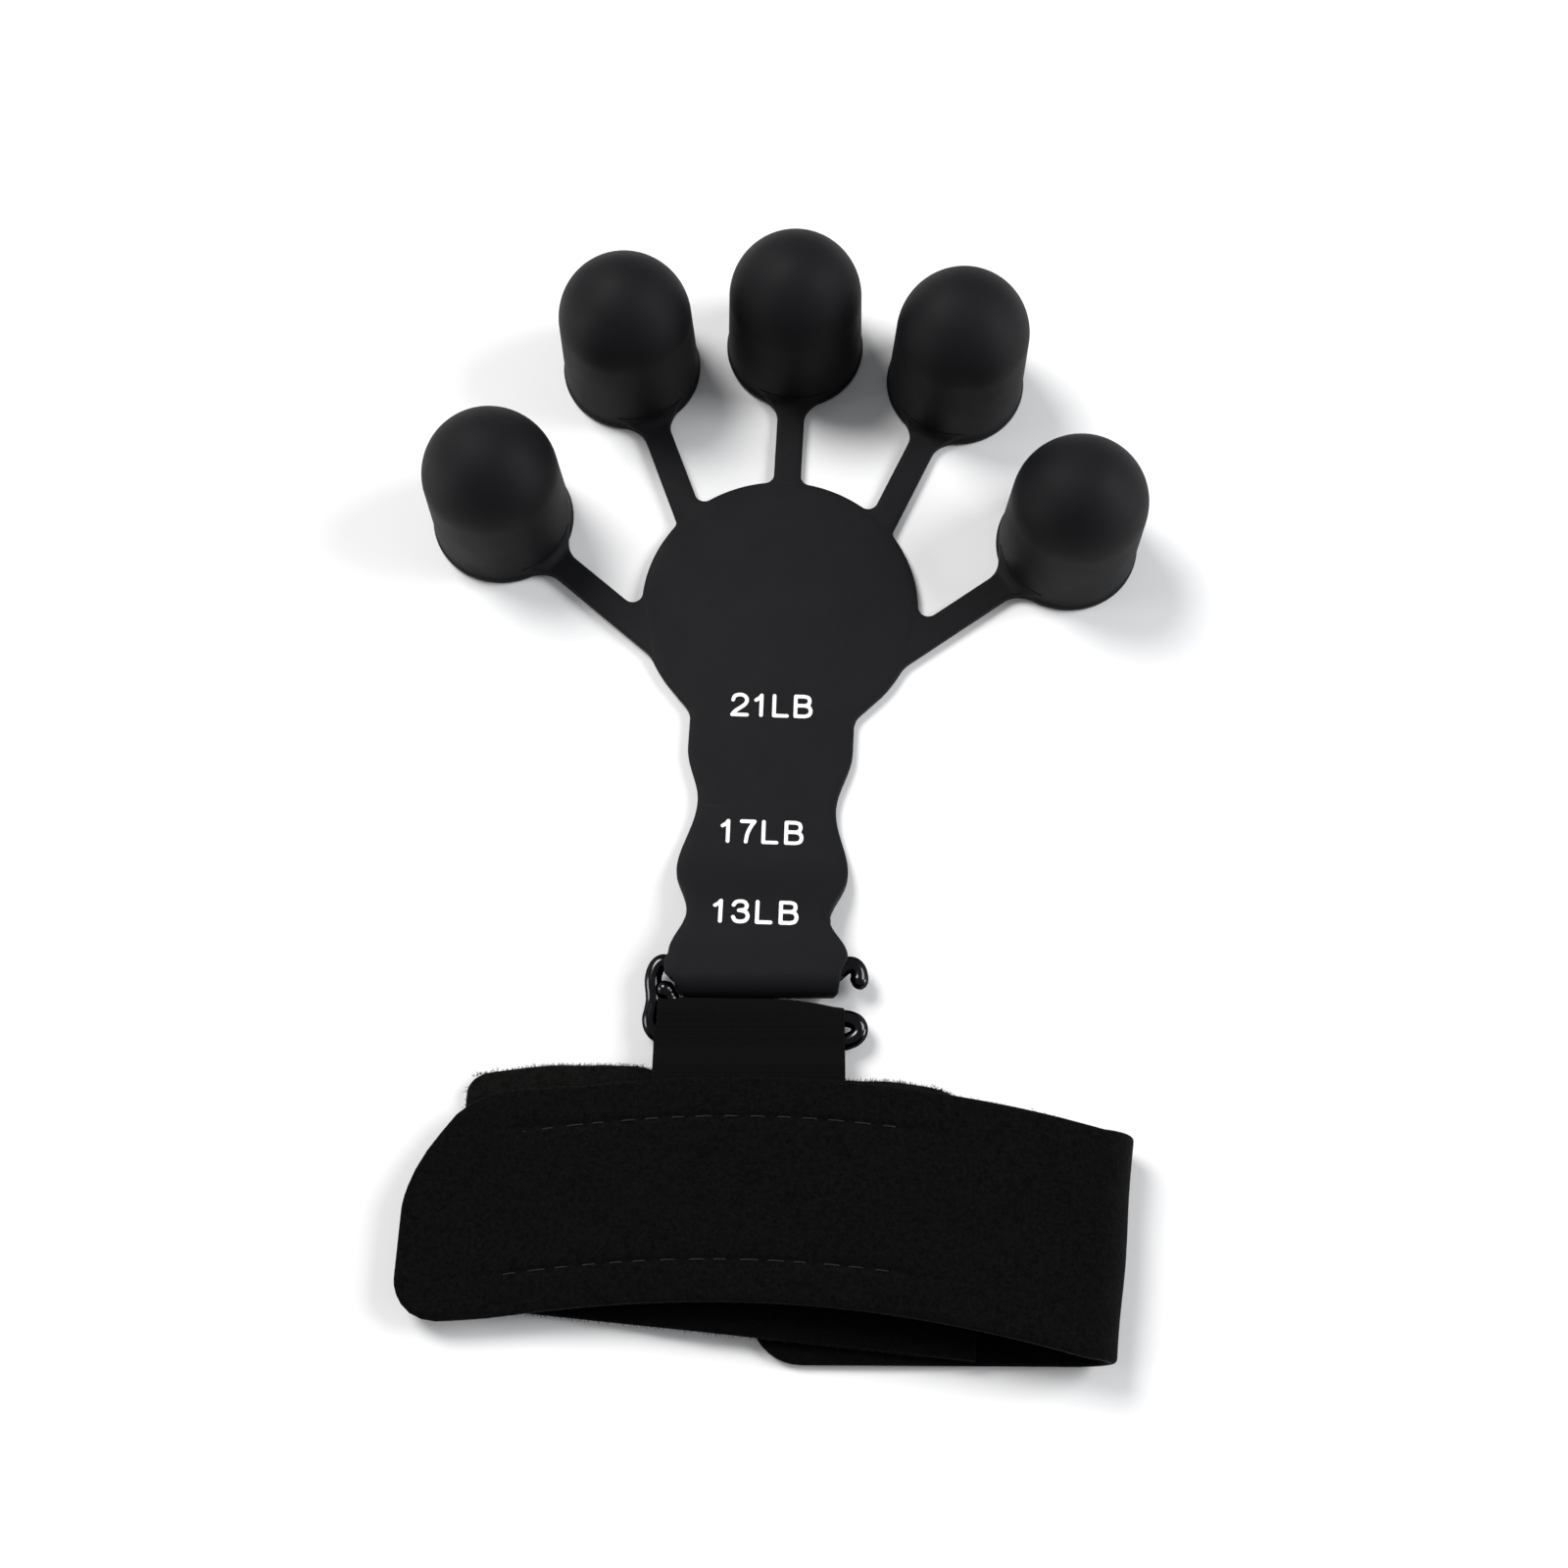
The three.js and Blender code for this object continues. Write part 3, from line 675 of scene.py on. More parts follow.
def web_ring(centre, bend, half):
    """A ring across the strip or flare: bend is the radius its row curves with."""
    width = 2 * half
    c = columns(width, EDGE_R, 9)
    h = SHEET / 2 - drop(np.minimum(c, width - c), EDGE_R)
    a = (c - half) / bend
    x = bend * np.sin(a)
    y = centre + bend * (1 - np.cos(a))
    d = np.clip(np.hypot(x, y) - CUP_R, 0, WEB_FILLET)
    lift = WEB_FILLET - np.sqrt(WEB_FILLET**2 - (WEB_FILLET - d) ** 2)
    top = np.column_stack([x, y, SHEET / 2 + h + lift])
    bottom = np.column_stack([x, y, SHEET / 2 - h])
    return np.concatenate([top, bottom[::-1]])


def web(length):
    """Strip and flare, from this far out into the cup's wall, round the cup's centre."""
    rings = []
    first = flare_rows()[0][0]
    for c in np.linspace(length, first, max(3, int((length - first) / 0.9)) + 1)[:-1]:
        bend = first + max(0.0, (c - first) / 4) ** 2 * 200 + (c - first) * 3
        rings.append(web_ring(-c, bend, STRIP_HALF))
    for r, phi in flare_rows():
        rings.append(web_ring(-r, r, r * phi))
    return loft(rings)


def dome(radius, t):
    return radius * math.cos(t), DOME_Z + radius * math.sin(t)


def cup_shell():
    """A cup with a rounded lip at its mouth, in its own frame."""
    outer = [(12.45, 0.0), (12.68, 0.05), (12.82, 0.2), (12.86, 0.45), (12.86, 0.95), (12.83, 1.2)]
    outer += [(12.74, 1.38), (12.63, 1.5), (12.59, 1.75)]
    outer += [(CUP_R - WALL_TAPER * z / DOME_Z, z) for z in np.linspace(2.6, 17.0, 15)]
    outer += [dome(DOME_R, t) for t in np.linspace(0, math.pi / 2, 25)[:-1]]
    inner = [dome(DOME_INNER_R, t) for t in np.linspace(math.pi / 2, 0, 13)[1:]]
    inner += [(MOUTH_R - WALL_TAPER * z / DOME_Z, z) for z in np.linspace(16, 0.8, 9)]
    inner += [(MOUTH_R, 0.35), (10.48, 0.1), (10.7, 0.0)]
    sides = 96
    a = np.linspace(0, 2 * math.pi, sides, endpoint=False)
    rings = [
        np.column_stack([r * np.cos(a), r * np.sin(a), np.full(sides, z)]) for r, z in outer + inner
    ]
    verts, faces = loft(rings, caps=False)
    verts = np.vstack([verts, (0, 0, 29.8), (0, 0, 27.6)])
    last_outer, first_inner = (len(outer) - 1) * sides, len(outer) * sides
    faces = [f for f in faces if f[0] // sides != len(outer) - 1]
    end, pole = (len(rings) - 1) * sides, len(rings) * sides
    for j in range(sides):
        k = (j + 1) % sides
        faces.append((last_outer + j, last_outer + k, pole))
        faces.append((first_inner + k, first_inner + j, pole + 1))
        faces.append((end + j, end + k, k, j))
    return verts, faces


def placed(verts, angle, reach):
    """From a cup's own frame, strip towards -y, into the part's frame."""
    xy = to_world(np.asarray(verts)[:, :2] + (0, reach), angle) + FAN
    return np.column_stack([xy, np.asarray(verts)[:, 2]])


def union(a, b, name, sharp):
    """a with b joined to it by a boolean, as one clean mesh."""
    modifier = a.modifiers.new("join", "BOOLEAN")
    modifier.operation = "UNION"
    modifier.solver = "EXACT"
    modifier.object = b
    evaluated = a.evaluated_get(bpy.context.evaluated_depsgraph_get())
    mesh = bpy.data.meshes.new_from_object(evaluated)
    mesh.name = name
    bpy.data.objects.remove(a)
    bpy.data.objects.remove(b)
    return shaded(name, mesh, sharp)


cup_pieces = {}
for name, angle, reach in FINGERS:
    shell, shell_faces = cup_shell()
    strip, strip_faces = web(reach - strip_bends(angle)[2])
    cup_pieces[name] = union(
        make("tmp_shell", placed(shell, angle, reach), shell_faces, SILICONE),
        make("tmp_web", placed(strip, angle, reach), strip_faces, SILICONE),
        f"skin_cup_{name}",
        38,
    )


# ---------------------------------------------------------------- arm and its rolled end
SKEW = math.tan(TURN)
BAR = hook(0, BAR_W, BAR_Z)
ROLL_R = 2.55
ROLL_SLACK = 1.12  # the roll bulges a little towards the strap
ARM_COLUMNS = 14
TUCKED_HALF = 11.8


def arm_z(y):
    return eased([(ARM_FLAT_Y, SHEET / 2), (ARM_HIGH_Y, BAR_Z + ROLL_R)], y)


def arm_turn(y):
    """How far the arm has turned from square to the strap's angle at y, from 0 to 1."""
    return eased([(ARM_SPLIT_Y - 4, 0), (ARM_HIGH_Y, 1)], y)


def arm_frame(y):
    """Height and normal of the arm's middle at y."""
    slope = (arm_z(y + 0.05) - arm_z(y - 0.05)) / 0.1
    size = math.hypot(1, slope)
    return arm_z(y), np.array([0, -slope / size, 1 / size])


def arm_row(y, z, normal, sides, turn):
    left, right = sides
    return (-left, y - turn * SKEW * left, z), (right, y + turn * SKEW * right, z), normal


def arm_sides(y):
    return eased(ARM_SIDES[-1], y), eased(ARM_SIDES[1], y)


def sheet_ring(row, inset=9):
    return band_ring(*row, inset, SHEET, EDGE_R, ARM_COLUMNS)


def arm_ring(y):
    return sheet_ring(arm_row(y, *arm_frame(y), arm_sides(y), arm_turn(y)))


def roll_sides(degrees):
    """The roll's corners round off as it turns under the bar; its left end flares again below."""
    left = [(90, 15.7), (99, 15.0), (112, 14.2), (135, 13.2), (170, 12.5), (200, 12.3), (238, 14.2)]
    right = [(90, 13.9), (150, 13.6), (185, 13.1), (215, 12.3), (240, 11.8)]
    return eased(left, degrees), eased(right, degrees)


ROLL_Y = -62.5
arm_rings = [arm_ring(y) for y in np.linspace(WAIST_Y, ROLL_Y, 34)]
skin_arm = make("skin_arm", *loft(arm_rings), SILICONE, 30)

roll_rings = [arm_ring(y) for y in np.linspace(ROLL_Y, ARM_HIGH_Y, 4)]
for y in np.linspace(ARM_HIGH_Y, BAR[1], 9)[1:-1]:
    roll_rings.append(sheet_ring(arm_row(y, BAR_Z + ROLL_R, UP, arm_sides(y), 1)))
for t in np.linspace(90, 270, 31):
    n = np.array([0, math.cos(t * RAD), math.sin(t * RAD)])
    y, z = BAR[1] + ROLL_SLACK * ROLL_R * n[1], BAR_Z + ROLL_R * n[2]
    roll_rings.append(sheet_ring(arm_row(y, z, n, roll_sides(t), 1)))
# (y, half width) of the end that is tucked back under the arm
tail = [(BAR[1] + 2, 14.2), (BAR[1] + 4, 13.6)]
tail += [(TAIL_Y - 3.5, 12.3), (TAIL_Y - 2.2, TUCKED_HALF), (TAIL_Y - 1.2, 11.2)]
tail += [(TAIL_Y - e, 9.0 + 2.0 * math.sqrt(e)) for e in EDGE_R * EASE[::-1]]
for y, half in tail:
    row = arm_row(y, SHEET / 2, DOWN, (half, min(half, TUCKED_HALF)), 1)
    roll_rings.append(sheet_ring(row, max(TAIL_Y - y, 0.0)))
skin_roll = make("skin_roll", *loft(roll_rings), SILICONE, 30)


# ---------------------------------------------------------------- resistance scale
# skeletons of the characters, one unit high: smooth strokes and straight ones
SMOOTH, STRAIGHT = True, False
GLYPHS = {
    "1": [(STRAIGHT, [(0, 0.76), (0.16, 0.86), (0.26, 1.0), (0.26, 0.0)])],
    "2": [
        (SMOOTH, [(0.02, 0.74), (0.08, 0.92), (0.24, 1.0), (0.46, 1.0), (0.62, 0.9), (0.68, 0.73),
                  (0.6, 0.54), (0.38, 0.36), (0.13, 0.17), (0.0, 0.0)]),
        (STRAIGHT, [(0.0, 0.0), (0.7, 0.0)]),
    ],
    "3": [
        (SMOOTH, [(0.0, 0.8), (0.1, 0.95), (0.3, 1.0), (0.5, 0.96), (0.6, 0.79), (0.53, 0.61),
                  (0.25, 0.54)]),
        (SMOOTH, [(0.3, 0.54), (0.56, 0.47), (0.66, 0.27), (0.57, 0.07), (0.33, 0.0), (0.1, 0.05),
                  (0.0, 0.21)]),
    ],
    "7": [
        (STRAIGHT, [(0.0, 1.0), (0.6, 1.0)]),
        (SMOOTH, [(0.6, 1.0), (0.42, 0.72), (0.28, 0.38), (0.22, 0.0)]),
    ],
    "L": [(STRAIGHT, [(0.0, 1.0), (0.0, 0.0), (0.62, 0.0)])],
    "B": [
        (STRAIGHT, [(0.42, 1.0), (0.0, 1.0), (0.0, 0.0), (0.44, 0.0)]),
        (STRAIGHT, [(0.0, 0.54), (0.44, 0.54)]),
        (SMOOTH, [(0.42, 1.0), (0.6, 0.94), (0.66, 0.77), (0.6, 0.6), (0.44, 0.54)]),
        (SMOOTH, [(0.44, 0.54), (0.64, 0.47), (0.72, 0.27), (0.64, 0.07), (0.44, 0.0)]),
    ],
}
PEN, MARK_H, MARK_TILT = 0.33, 4.4, 1.1 * RAD


def mark(name, starts, centre, width, surface):
    """The number in the name and its unit as a thin printed layer of rounded strokes. starts
    are the characters' distances from the left; surface(x, y) gives a point and its normal."""
    scale = MARK_H - 2 * PEN
    segments = []
    for character, at in zip(name[-2:] + "LB", starts):
        for smooth, stroke in GLYPHS[character]:
            pts = [(at + PEN - width / 2 + scale * px, scale * (py - 0.5)) for px, py in stroke]
            if smooth:
                pts = [tuple(q) for q in catmull(pts, 24)]
            segments += list(zip(pts, pts[1:]))
    step = 0.13
    gx = np.arange(-width / 2 - 0.4, width / 2 + 0.6, step)
    gy = np.arange(-MARK_H / 2 - 0.4, MARK_H / 2 + 0.4, step)
    px, py = np.meshgrid(gx, gy, indexing="ij")
    best = np.full(px.shape, 9.0)
    for (x0, y0), (x1, y1) in segments:
        dx, dy = x1 - x0, y1 - y0
        t = np.clip(((px - x0) * dx + (py - y0) * dy) / (dx * dx + dy * dy), 0, 1)
        best = np.minimum(best, np.hypot(px - x0 - t * dx, py - y0 - t * dy))
    level = PEN - best
    c, t = math.cos(MARK_TILT), math.sin(MARK_TILT)
    px, py = centre[0] + px * c - py * t, centre[1] + px * t + py * c
    bm = bmesh.new()
    made = {}

    def vertex(key, x, y):
        if key not in made:
            p, n = surface(x, y)
            made[key] = bm.verts.new(metres(p + n * 0.05))
        return made[key]

    def cut(i0, j0, i1, j1):
        a, b = level[i0, j0], level[i1, j1]
        t = a / (a - b)
        key = (min((i0, j0), (i1, j1)), max((i0, j0), (i1, j1)))
        x = px[i0, j0] + t * (px[i1, j1] - px[i0, j0])
        return vertex(key, x, py[i0, j0] + t * (py[i1, j1] - py[i0, j0]))

    for i in range(len(gx) - 1):
        for j in range(len(gy) - 1):
            corners = [(i, j), (i + 1, j), (i + 1, j + 1), (i, j + 1)]
            if max(level[c] for c in corners) <= 0:
                continue
            loop = []
            for a, b in zip(corners, corners[1:] + corners[:1]):
                if level[a] > 0:
                    loop.append(vertex(a, px[a], py[a]))
                if (level[a] > 0) != (level[b] > 0):
                    loop.append(cut(*a, *b))
            if len(loop) > 2:
                bm.faces.new(loop)
    mesh = bpy.data.meshes.new(name)
    result = bmesh.ops.extrude_face_region(bm, geom=list(bm.faces), use_keep_orig=True)
    moved = [v for v in result["geom"] if isinstance(v, bmesh.types.BMVert)]
    for v in moved:
        _, n = surface(v.co.x * 1000, v.co.y * 1000)
        v.co = Vector(metres(np.array(v.co) * 1000 - n * 0.1))
    bmesh.ops.recalc_face_normals(bm, faces=bm.faces)
    bm.to_mesh(mesh)
    bm.free()
    mesh.materials.append(MARK)
    return shaded(name, mesh, 35)


def flat_top(x, y):
    return np.array([x, y, SHEET]), UP


def arm_top(x, y):
    z, normal = arm_frame(y - arm_turn(y) * SKEW * x)
    return np.array([x, y, z]) + normal * SHEET / 2, normal


mark_21 = mark("mark_21", (0, 4.15, 7.4, 11.2), (-0.45, -19.2), 14.55, flat_top)
mark_17 = mark("mark_17", (0, 3.3, 7.15, 11.1), (-0.85, -42.7), 14.45, arm_top)
mark_13 = mark("mark_13", (0, 3.15, 7.2, 11.2), (-1.0, -58.3), 14.6, arm_top)


# ---------------------------------------------------------------- wire
lifts = [0.0] * (len(WIRE_ROUTE) - len(WIRE_LIFT)) + WIRE_LIFT
route = catmull([hook(u, w, wire_z(w) + lift) for (u, w), lift in zip(WIRE_ROUTE, lifts)], 520)
dist = distances(route)
cap = WIRE_R * np.array([0.0, 0.03, 0.12, 0.3, 0.6])
stations = np.concatenate([cap, np.linspace(WIRE_R, dist[-1] - WIRE_R, 420), dist[-1] - cap[::-1]])
line = sampled(route, dist, stations)
from_end = np.minimum(stations, dist[-1] - stations)
taper = np.sqrt(np.clip(1 - (1 - np.minimum(from_end / WIRE_R, 1)) ** 2, 0.0004, 1))
taper *= 1 + 0.1 * np.exp(-(((from_end - 1.2) / 1.2) ** 2))  # the coating gathers at the ends
wire_hook = make("wire_hook", *loft(tube(line, WIRE_R, 24, taper)), WIRE, 50)


# ---------------------------------------------------------------- elastic
def bar_b(u):
    """The wire's lower bar inside the sleeve: it falls towards the open end."""
    return float(np.interp(u, [2, 6, 9, 11.7, 13.5], [-7.1, -7.2, -7.45, -7.8, -8.0]))


def sleeve_r(u):
    """Middle of the ply round the bar. It is pulled tighter towards the open end."""
    return float(np.interp(u, [-14, -6, 3, 8, 11.7, 14.4], [2.2, 2.0, 1.9, 1.68, 1.42, 1.25]))


def ply_path(u):
    """Middle line of the elastic at u, as (w, z): top ply, round the bar, bottom ply."""
    wb, r = bar_b(u), sleeve_r(u)
    pts = [(w, FLEX_Z + PLY_GAP) for w in (-19.4, -17.6, FLEX_W)]
    pts += [(-14.9, wire_z(-14.9) + 2.75), (POCKET_W + 0.6, wire_z(POCKET_W) + 2.1)]
    pts += [(-11, wire_z(-11) + 1.95), (wb, wire_z(wb) + r)]
    for t in np.linspace(90, -90, 11)[1:-1]:
        pts.append((wb + r * math.cos(t * RAD), wire_z(wb) + r * math.sin(t * RAD)))
    pts += [(wb, wire_z(wb) - r), (-11, wire_z(-11) - 1.95)]
    pts += [(POCKET_W + 0.4, wire_z(POCKET_W) - 1.75)]
    pts += [(-15.1, wire_z(-15) - 0.2)]
    return catmull(pts + [(w, FLEX_Z - PLY_GAP) for w in (FLEX_W - 0.3, -17.6, -19.4)], 420)


ELASTIC_EDGE = 0.3
ELASTIC_COLUMNS = columns(ELASTIC_U[1] - ELASTIC_U[0], ELASTIC_EDGE, 20) + ELASTIC_U[0]


def elastic_row(u, half, along):
    """Half thickness of the elastic at u, and the height of a rib there this far along."""
    e = min(u - ELASTIC_U[0], ELASTIC_U[1] - u)
    rib = 0.02 * math.cos(2 * math.pi * along / RIB) * min(1, e / 0.8)
    return half - float(drop(e, ELASTIC_EDGE)), rib


def pushed_in(u, w):
    """The wire's outer loop holds the sleeve's left edge back."""
    share = eased([(-10.8, 0), (-8.6, 1)], w)
    return u + 0.55 * share * max(0.0, 1 - (u - ELASTIC_U[0]) / 6)


def elastic_loop():
    count = 260
    paths = []
    for u in ELASTIC_COLUMNS:
        p = ply_path(u)
        s = distances(p)
        q = np.linspace(0, s[-1], count)
        path = sampled(p, s, q)
        t = curve_frames(path)
        paths.append((path, np.column_stack([-t[:, 1], t[:, 0]]), q))
    rings = []
    for i in range(count):
        outer, inner = [], []
        for u, (p, n, q) in zip(ELASTIC_COLUMNS, paths):
            half, rib = elastic_row(u, PLY / 2, q[i])
            o, k = p[i] + n[i] * (half + rib), p[i] - n[i] * (half - 0.02)
            outer.append(hook(pushed_in(u, o[0]), *o))
            inner.append(hook(pushed_in(u, k[0]), *k))
        rings.append(np.array(outer + inner[::-1]))
    return loft(rings)


loop_elastic = make("loop_elastic", *elastic_loop(), ELASTIC, 50)


BASE_W, BASE_HALF = -19.38, 0.83


def elastic_base():
    rings = []
    for w in np.arange(BASE_W, ELASTIC_END_W - 0.01, -RIB / 6):
        top, bottom = [], []
        for u in ELASTIC_COLUMNS:
            half, rib = elastic_row(u, BASE_HALF, w - BASE_W)
            top.append(hook(u, w, FLEX_Z + half + rib))
            bottom.append(hook(u, w, FLEX_Z - half))
        rings.append(np.array(top + bottom[::-1]))
    return loft(rings)


base_elastic = make("base_elastic", *elastic_base(), ELASTIC, 50)


# ---------------------------------------------------------------- wrist strap
TONGUE_LINE = catmull(TONGUE_Z, 400)[::-1]


TONGUE_FLAT_X = 55.4


def tongue_z(x):
    return float(np.interp(x, TONGUE_LINE[:, 0], TONGUE_LINE[:, 1]))


def slope_normal(slope):
    """The upward normal of something that rises this much along x."""
    return np.array([-slope, 0, 1.0]) / math.hypot(1, slope)


def tongue_at(x):
    """Height and normal of the upper layer's middle at x."""
    slope = (tongue_z(x + 0.4) - tongue_z(x - 0.4)) / 0.8
    if x > TONGUE_FLAT_X:
        slope = 0.0
    return tongue_z(x), slope_normal(slope)


def corner_cut(radius, distance):
    d = max(0.0, radius - distance)
    return radius - math.sqrt(max(0.0, radius**2 - d * d))


def lean(x):
    return FOLD_LEAN * eased([(0, 0), (50, 1)], x)


def wave(x, y):
    """The slow unevenness of a laminated fabric, in millimetres."""
    return (
        0.1 * np.sin(x / 6.7 + 0.8) * np.sin(y / 5.3 + 0.4)
        + 0.07 * np.sin(x / 3.1 + y / 4.7)
        + 0.05 * np.sin(x / 11.0 - y / 2.9 + 1.3)
    )


STRAP_COLUMNS = [1.6, 3.2, 4.8, 5.6, 6.0, 6.25, 6.5, 6.75, 7.0, 7.4, 8.2, 10, 12, 14, 16]
STRAP_COLUMNS += [2 * STRAP_HALF - c for c in reversed(STRAP_COLUMNS)]
STRAP_EDGE = 0.75


def strap_shape(sewn):
    """Thickness changes of a strap's ring: unevenness, and a groove along each sewn line."""

    def shape(mid, c, width, up, down):
        bumps = wave(mid[:, 0], mid[:, 1])
        up = up + bumps
        down = down - bumps * 0.4
        for line_at in (STITCH_INSET, width - STITCH_INSET):
            up = up - sewn * 0.32 * np.exp(-(((c - line_at) / 0.55) ** 2))
            up = up + sewn * 0.1 * np.exp(-((np.abs(c - line_at) - 1.5) ** 2) / 0.5)
        return up, down

    return shape


def strap_ring(x, z, normal, far, near, slant, inset, sewn=0.0):
    middle = (far + near) / 2
    a = (x + slant * (near - middle), near, z)
    b = (x + slant * (far - middle), far, z)
    return band_ring(a, b, normal, inset, STRAP, STRAP_EDGE, STRAP_COLUMNS, strap_shape(sewn))


def sewn_at(x):
    """How deep the sewn lines are at x on the upper layer."""
    return float(np.interp(x, [-41, -38, 26, 34], [0, 1, 1, 0]))


def fold_ring(degrees, middle):
    c, s = math.cos(degrees * RAD), math.sin(degrees * RAD)
    r = FOLD_Z - STRAP / 2
    x = FOLD_X - FOLD_Z + r * c
    far, near = middle + STRAP_HALF, middle - STRAP_HALF
    return strap_ring(x, FOLD_Z + r * s, np.array([c, 0, s]), far, near, FOLD_LEAN, 9)


def end_rows(stop, radius, toward):
    """Positions of a rounded end, given as distances in from it."""
    close = STRAP_EDGE * EASE[::-1]
    rest = radius * (1 - np.cos(np.linspace(math.pi / 2, 0.25, 9)))
    far_in = [d for d in rest if d > STRAP_EDGE * 1.2]
    return [stop + toward * d for d in [*far_in, *close]]


FOLD_SEAM_X = 52.0


def tongue_rings():
    rings = []
    start = np.linspace(FOLD_SEAM_X, TONGUE_TIP + 19, 62)
    for x in [*start[:-1], *end_rows(TONGUE_TIP, 19, 1)]:
        d = x - TONGUE_TIP
        far = arch(x) + STRAP_HALF - corner_cut(17, d)
        far += eased([(-57, 0), (-52, 0.3), (-46.5, 1.5), (-40, 1.0), (-33, 0.35), (-27, 0)], x)
        near = arch(x) - STRAP_HALF + corner_cut(9, d) + eased([(-50, 0.8), (-38, 0)], x)
        z, normal = tongue_at(x)
        rings.append(strap_ring(x, z, normal, far, near, lean(x), d, sewn_at(x)))
    return rings


def lower_y(x):
    return -111 - 0.045 * (FOLD_X - x)


def lower_rings():
    rings = []
    start = np.linspace(FOLD_SEAM_X, LOWER_END + 9, 28)
    for x in [*start[:-1], *end_rows(LOWER_END, 9, 1)]:
        d = x - LOWER_END
        half = STRAP_HALF - corner_cut(9, d)
        y = lower_y(x)
        rings.append(strap_ring(x, STRAP / 2, DOWN, y + half, y - half, lean(x), d))
    return rings


def fold_rings():
    rings = []
    centre = FOLD_X - FOLD_Z
    for x in np.linspace(FOLD_SEAM_X, centre, 4)[:-1]:
        y = lower_y(x)
        rings.append(strap_ring(x, STRAP / 2, DOWN, y + STRAP_HALF, y - STRAP_HALF, lean(x), 9))
    for t in np.linspace(-90, 90, 31):
        middle = lower_y(centre) + (arch(centre) - lower_y(centre)) * (t + 90) / 180
        rings.append(fold_ring(t, middle))
    for x in np.linspace(centre, FOLD_SEAM_X, 4)[1:]:
        z, normal = tongue_at(x)
        far, near = arch(x) + STRAP_HALF, arch(x) - STRAP_HALF
        rings.append(strap_ring(x, z, normal, far, near, lean(x), 9))
    return rings


PANEL_X = (-47.5, 38.0)


def panel_far(x):
    left = -84.45 - (x + 12) ** 2 / 300
    left += eased([(-47, 1.0), (-35, 0.9), (-26, 0.4), (-20, 0.0), (-15, -1.0)], x)
    above = eased([(16, -1.0), (24, -0.4), (30, -0.4), (38, -2.4)], x)
    right = arch(x) + STRAP_HALF + 0.33 * (tongue_at(x)[0] - panel_z(x)) + above
    return left + (right - left) * eased([(10, 0), (15, 1)], x)


def panel_near(x):
    return -127.2 - 0.0525 * x


def panel_z(x):
    return eased([(-30, 1.0), (-4, 3.3)], x)


def panel_rings():
    rings = []
    a, b = PANEL_X
    close = STRAP_EDGE * EASE
    for x in [*(a + close), *np.linspace(a + 1.2, b - 1.2, 60), *(b - close[::-1])]:
        d = min(x - a, b - x)
        cut = corner_cut(3.0, x - a) if x < 0 else 0.0
        slope = (panel_z(x + 0.2) - panel_z(x - 0.2)) / 0.4
        far, near = panel_far(x) - cut, panel_near(x) + cut
        rings.append(strap_ring(x, panel_z(x), slope_normal(slope), far, near, 0, d))
    return rings


def edge_slots(rings, faces):
    """1 for a face of the cut edge, whose foam core shows and which is painted lighter as a
    highlight of the edge catching light, and 0 elsewhere.
    """
    n = len(rings[0])
    half = n // 2
    slots = []
    for face in faces:
        j = {i % n for i in face}
        slots.append(int(len(face) > 4 or {half - 1, half} <= j or {0, n - 1} <= j))
    return slots


def strap_piece(name, rings, fabric=FABRIC):
    verts, faces = loft(rings)
    return make(name, verts, faces, fabric, 55, FOAM_AND_HIGHLIGHT_EDGE, edge_slots(rings, faces))


def paint_shade_inside(obj, rings, inner):
    """Gives the faces inside the loop a darker copy of the fabric, as painted shade. inner(j, n, y)
    says which: j of n along a ring, y in mm."""
    obj.data.materials.append(PAINTED_SHADE_FABRIC)
    n = len(rings[0])
    for polygon in obj.data.polygons:
        j = max(v % n for v in polygon.vertices)
        if polygon.material_index == 0 and inner(j, n, 1000 * polygon.center.y):
            polygon.material_index = 2


# inside the loop and where the panel lies under the tongue, the fabric is swapped for its darker
# copy: painted shade
PAINTED_SHADE_Y = -104
band_tongue = strap_piece("band_tongue", tongue_rings())
band_lower = strap_piece("band_lower", lower_rings())
band_fold = strap_piece("band_fold", fold_rings())
band_panel = strap_piece("band_panel", panel_rings(), PLUSH)
paint_shade_inside(band_lower, lower_rings(), lambda j, n, y: True)
paint_shade_inside(band_panel, panel_rings(), lambda j, n, y: y < PAINTED_SHADE_Y)
paint_shade_inside(band_fold, fold_rings(), lambda j, n, y: j >= n // 2)
paint_shade_inside(band_tongue, tongue_rings(), lambda j, n, y: j >= n // 2)


def tongue_top(x, y):
    """A point on the upper layer's top face, and its normal there."""
    z, normal = tongue_at(x)
    middle = arch(x)
    return np.array([x + lean(x) * (y - middle), y, z]) + normal * (STRAP / 2 + wave(x, y)), normal


STITCH_PITCH, STITCH_LENGTH, STITCH_R = 4.3, 2.8, 0.16


def stitches(name, line, normals):
    """Sewn stitches along a line of points: each dips into the fabric at its ends."""
    d = distances(line)
    parts = []
    for k in range(int(d[-1] / STITCH_PITCH)):
        a = k * STITCH_PITCH + 0.3 + RNG.uniform(-0.3, 0.3)
        q = a + (STITCH_LENGTH + RNG.uniform(-0.7, 0.4)) * np.linspace(0, 1, 9)
        p, n = sampled(line, d, q), sampled(normals, d, q)
        rise = STITCH_R * 0.75 * (1 - np.abs(np.linspace(-1, 1, 9)) ** 3.5 * 2.6)
        size = np.sqrt(np.clip(1 - np.linspace(-1, 1, 9) ** 6, 0.12, 1))
        parts.append(loft(tube(p + n * rise[:, None], STITCH_R, 8, size)))
    return make(name, *joined(parts), THREAD, 60)


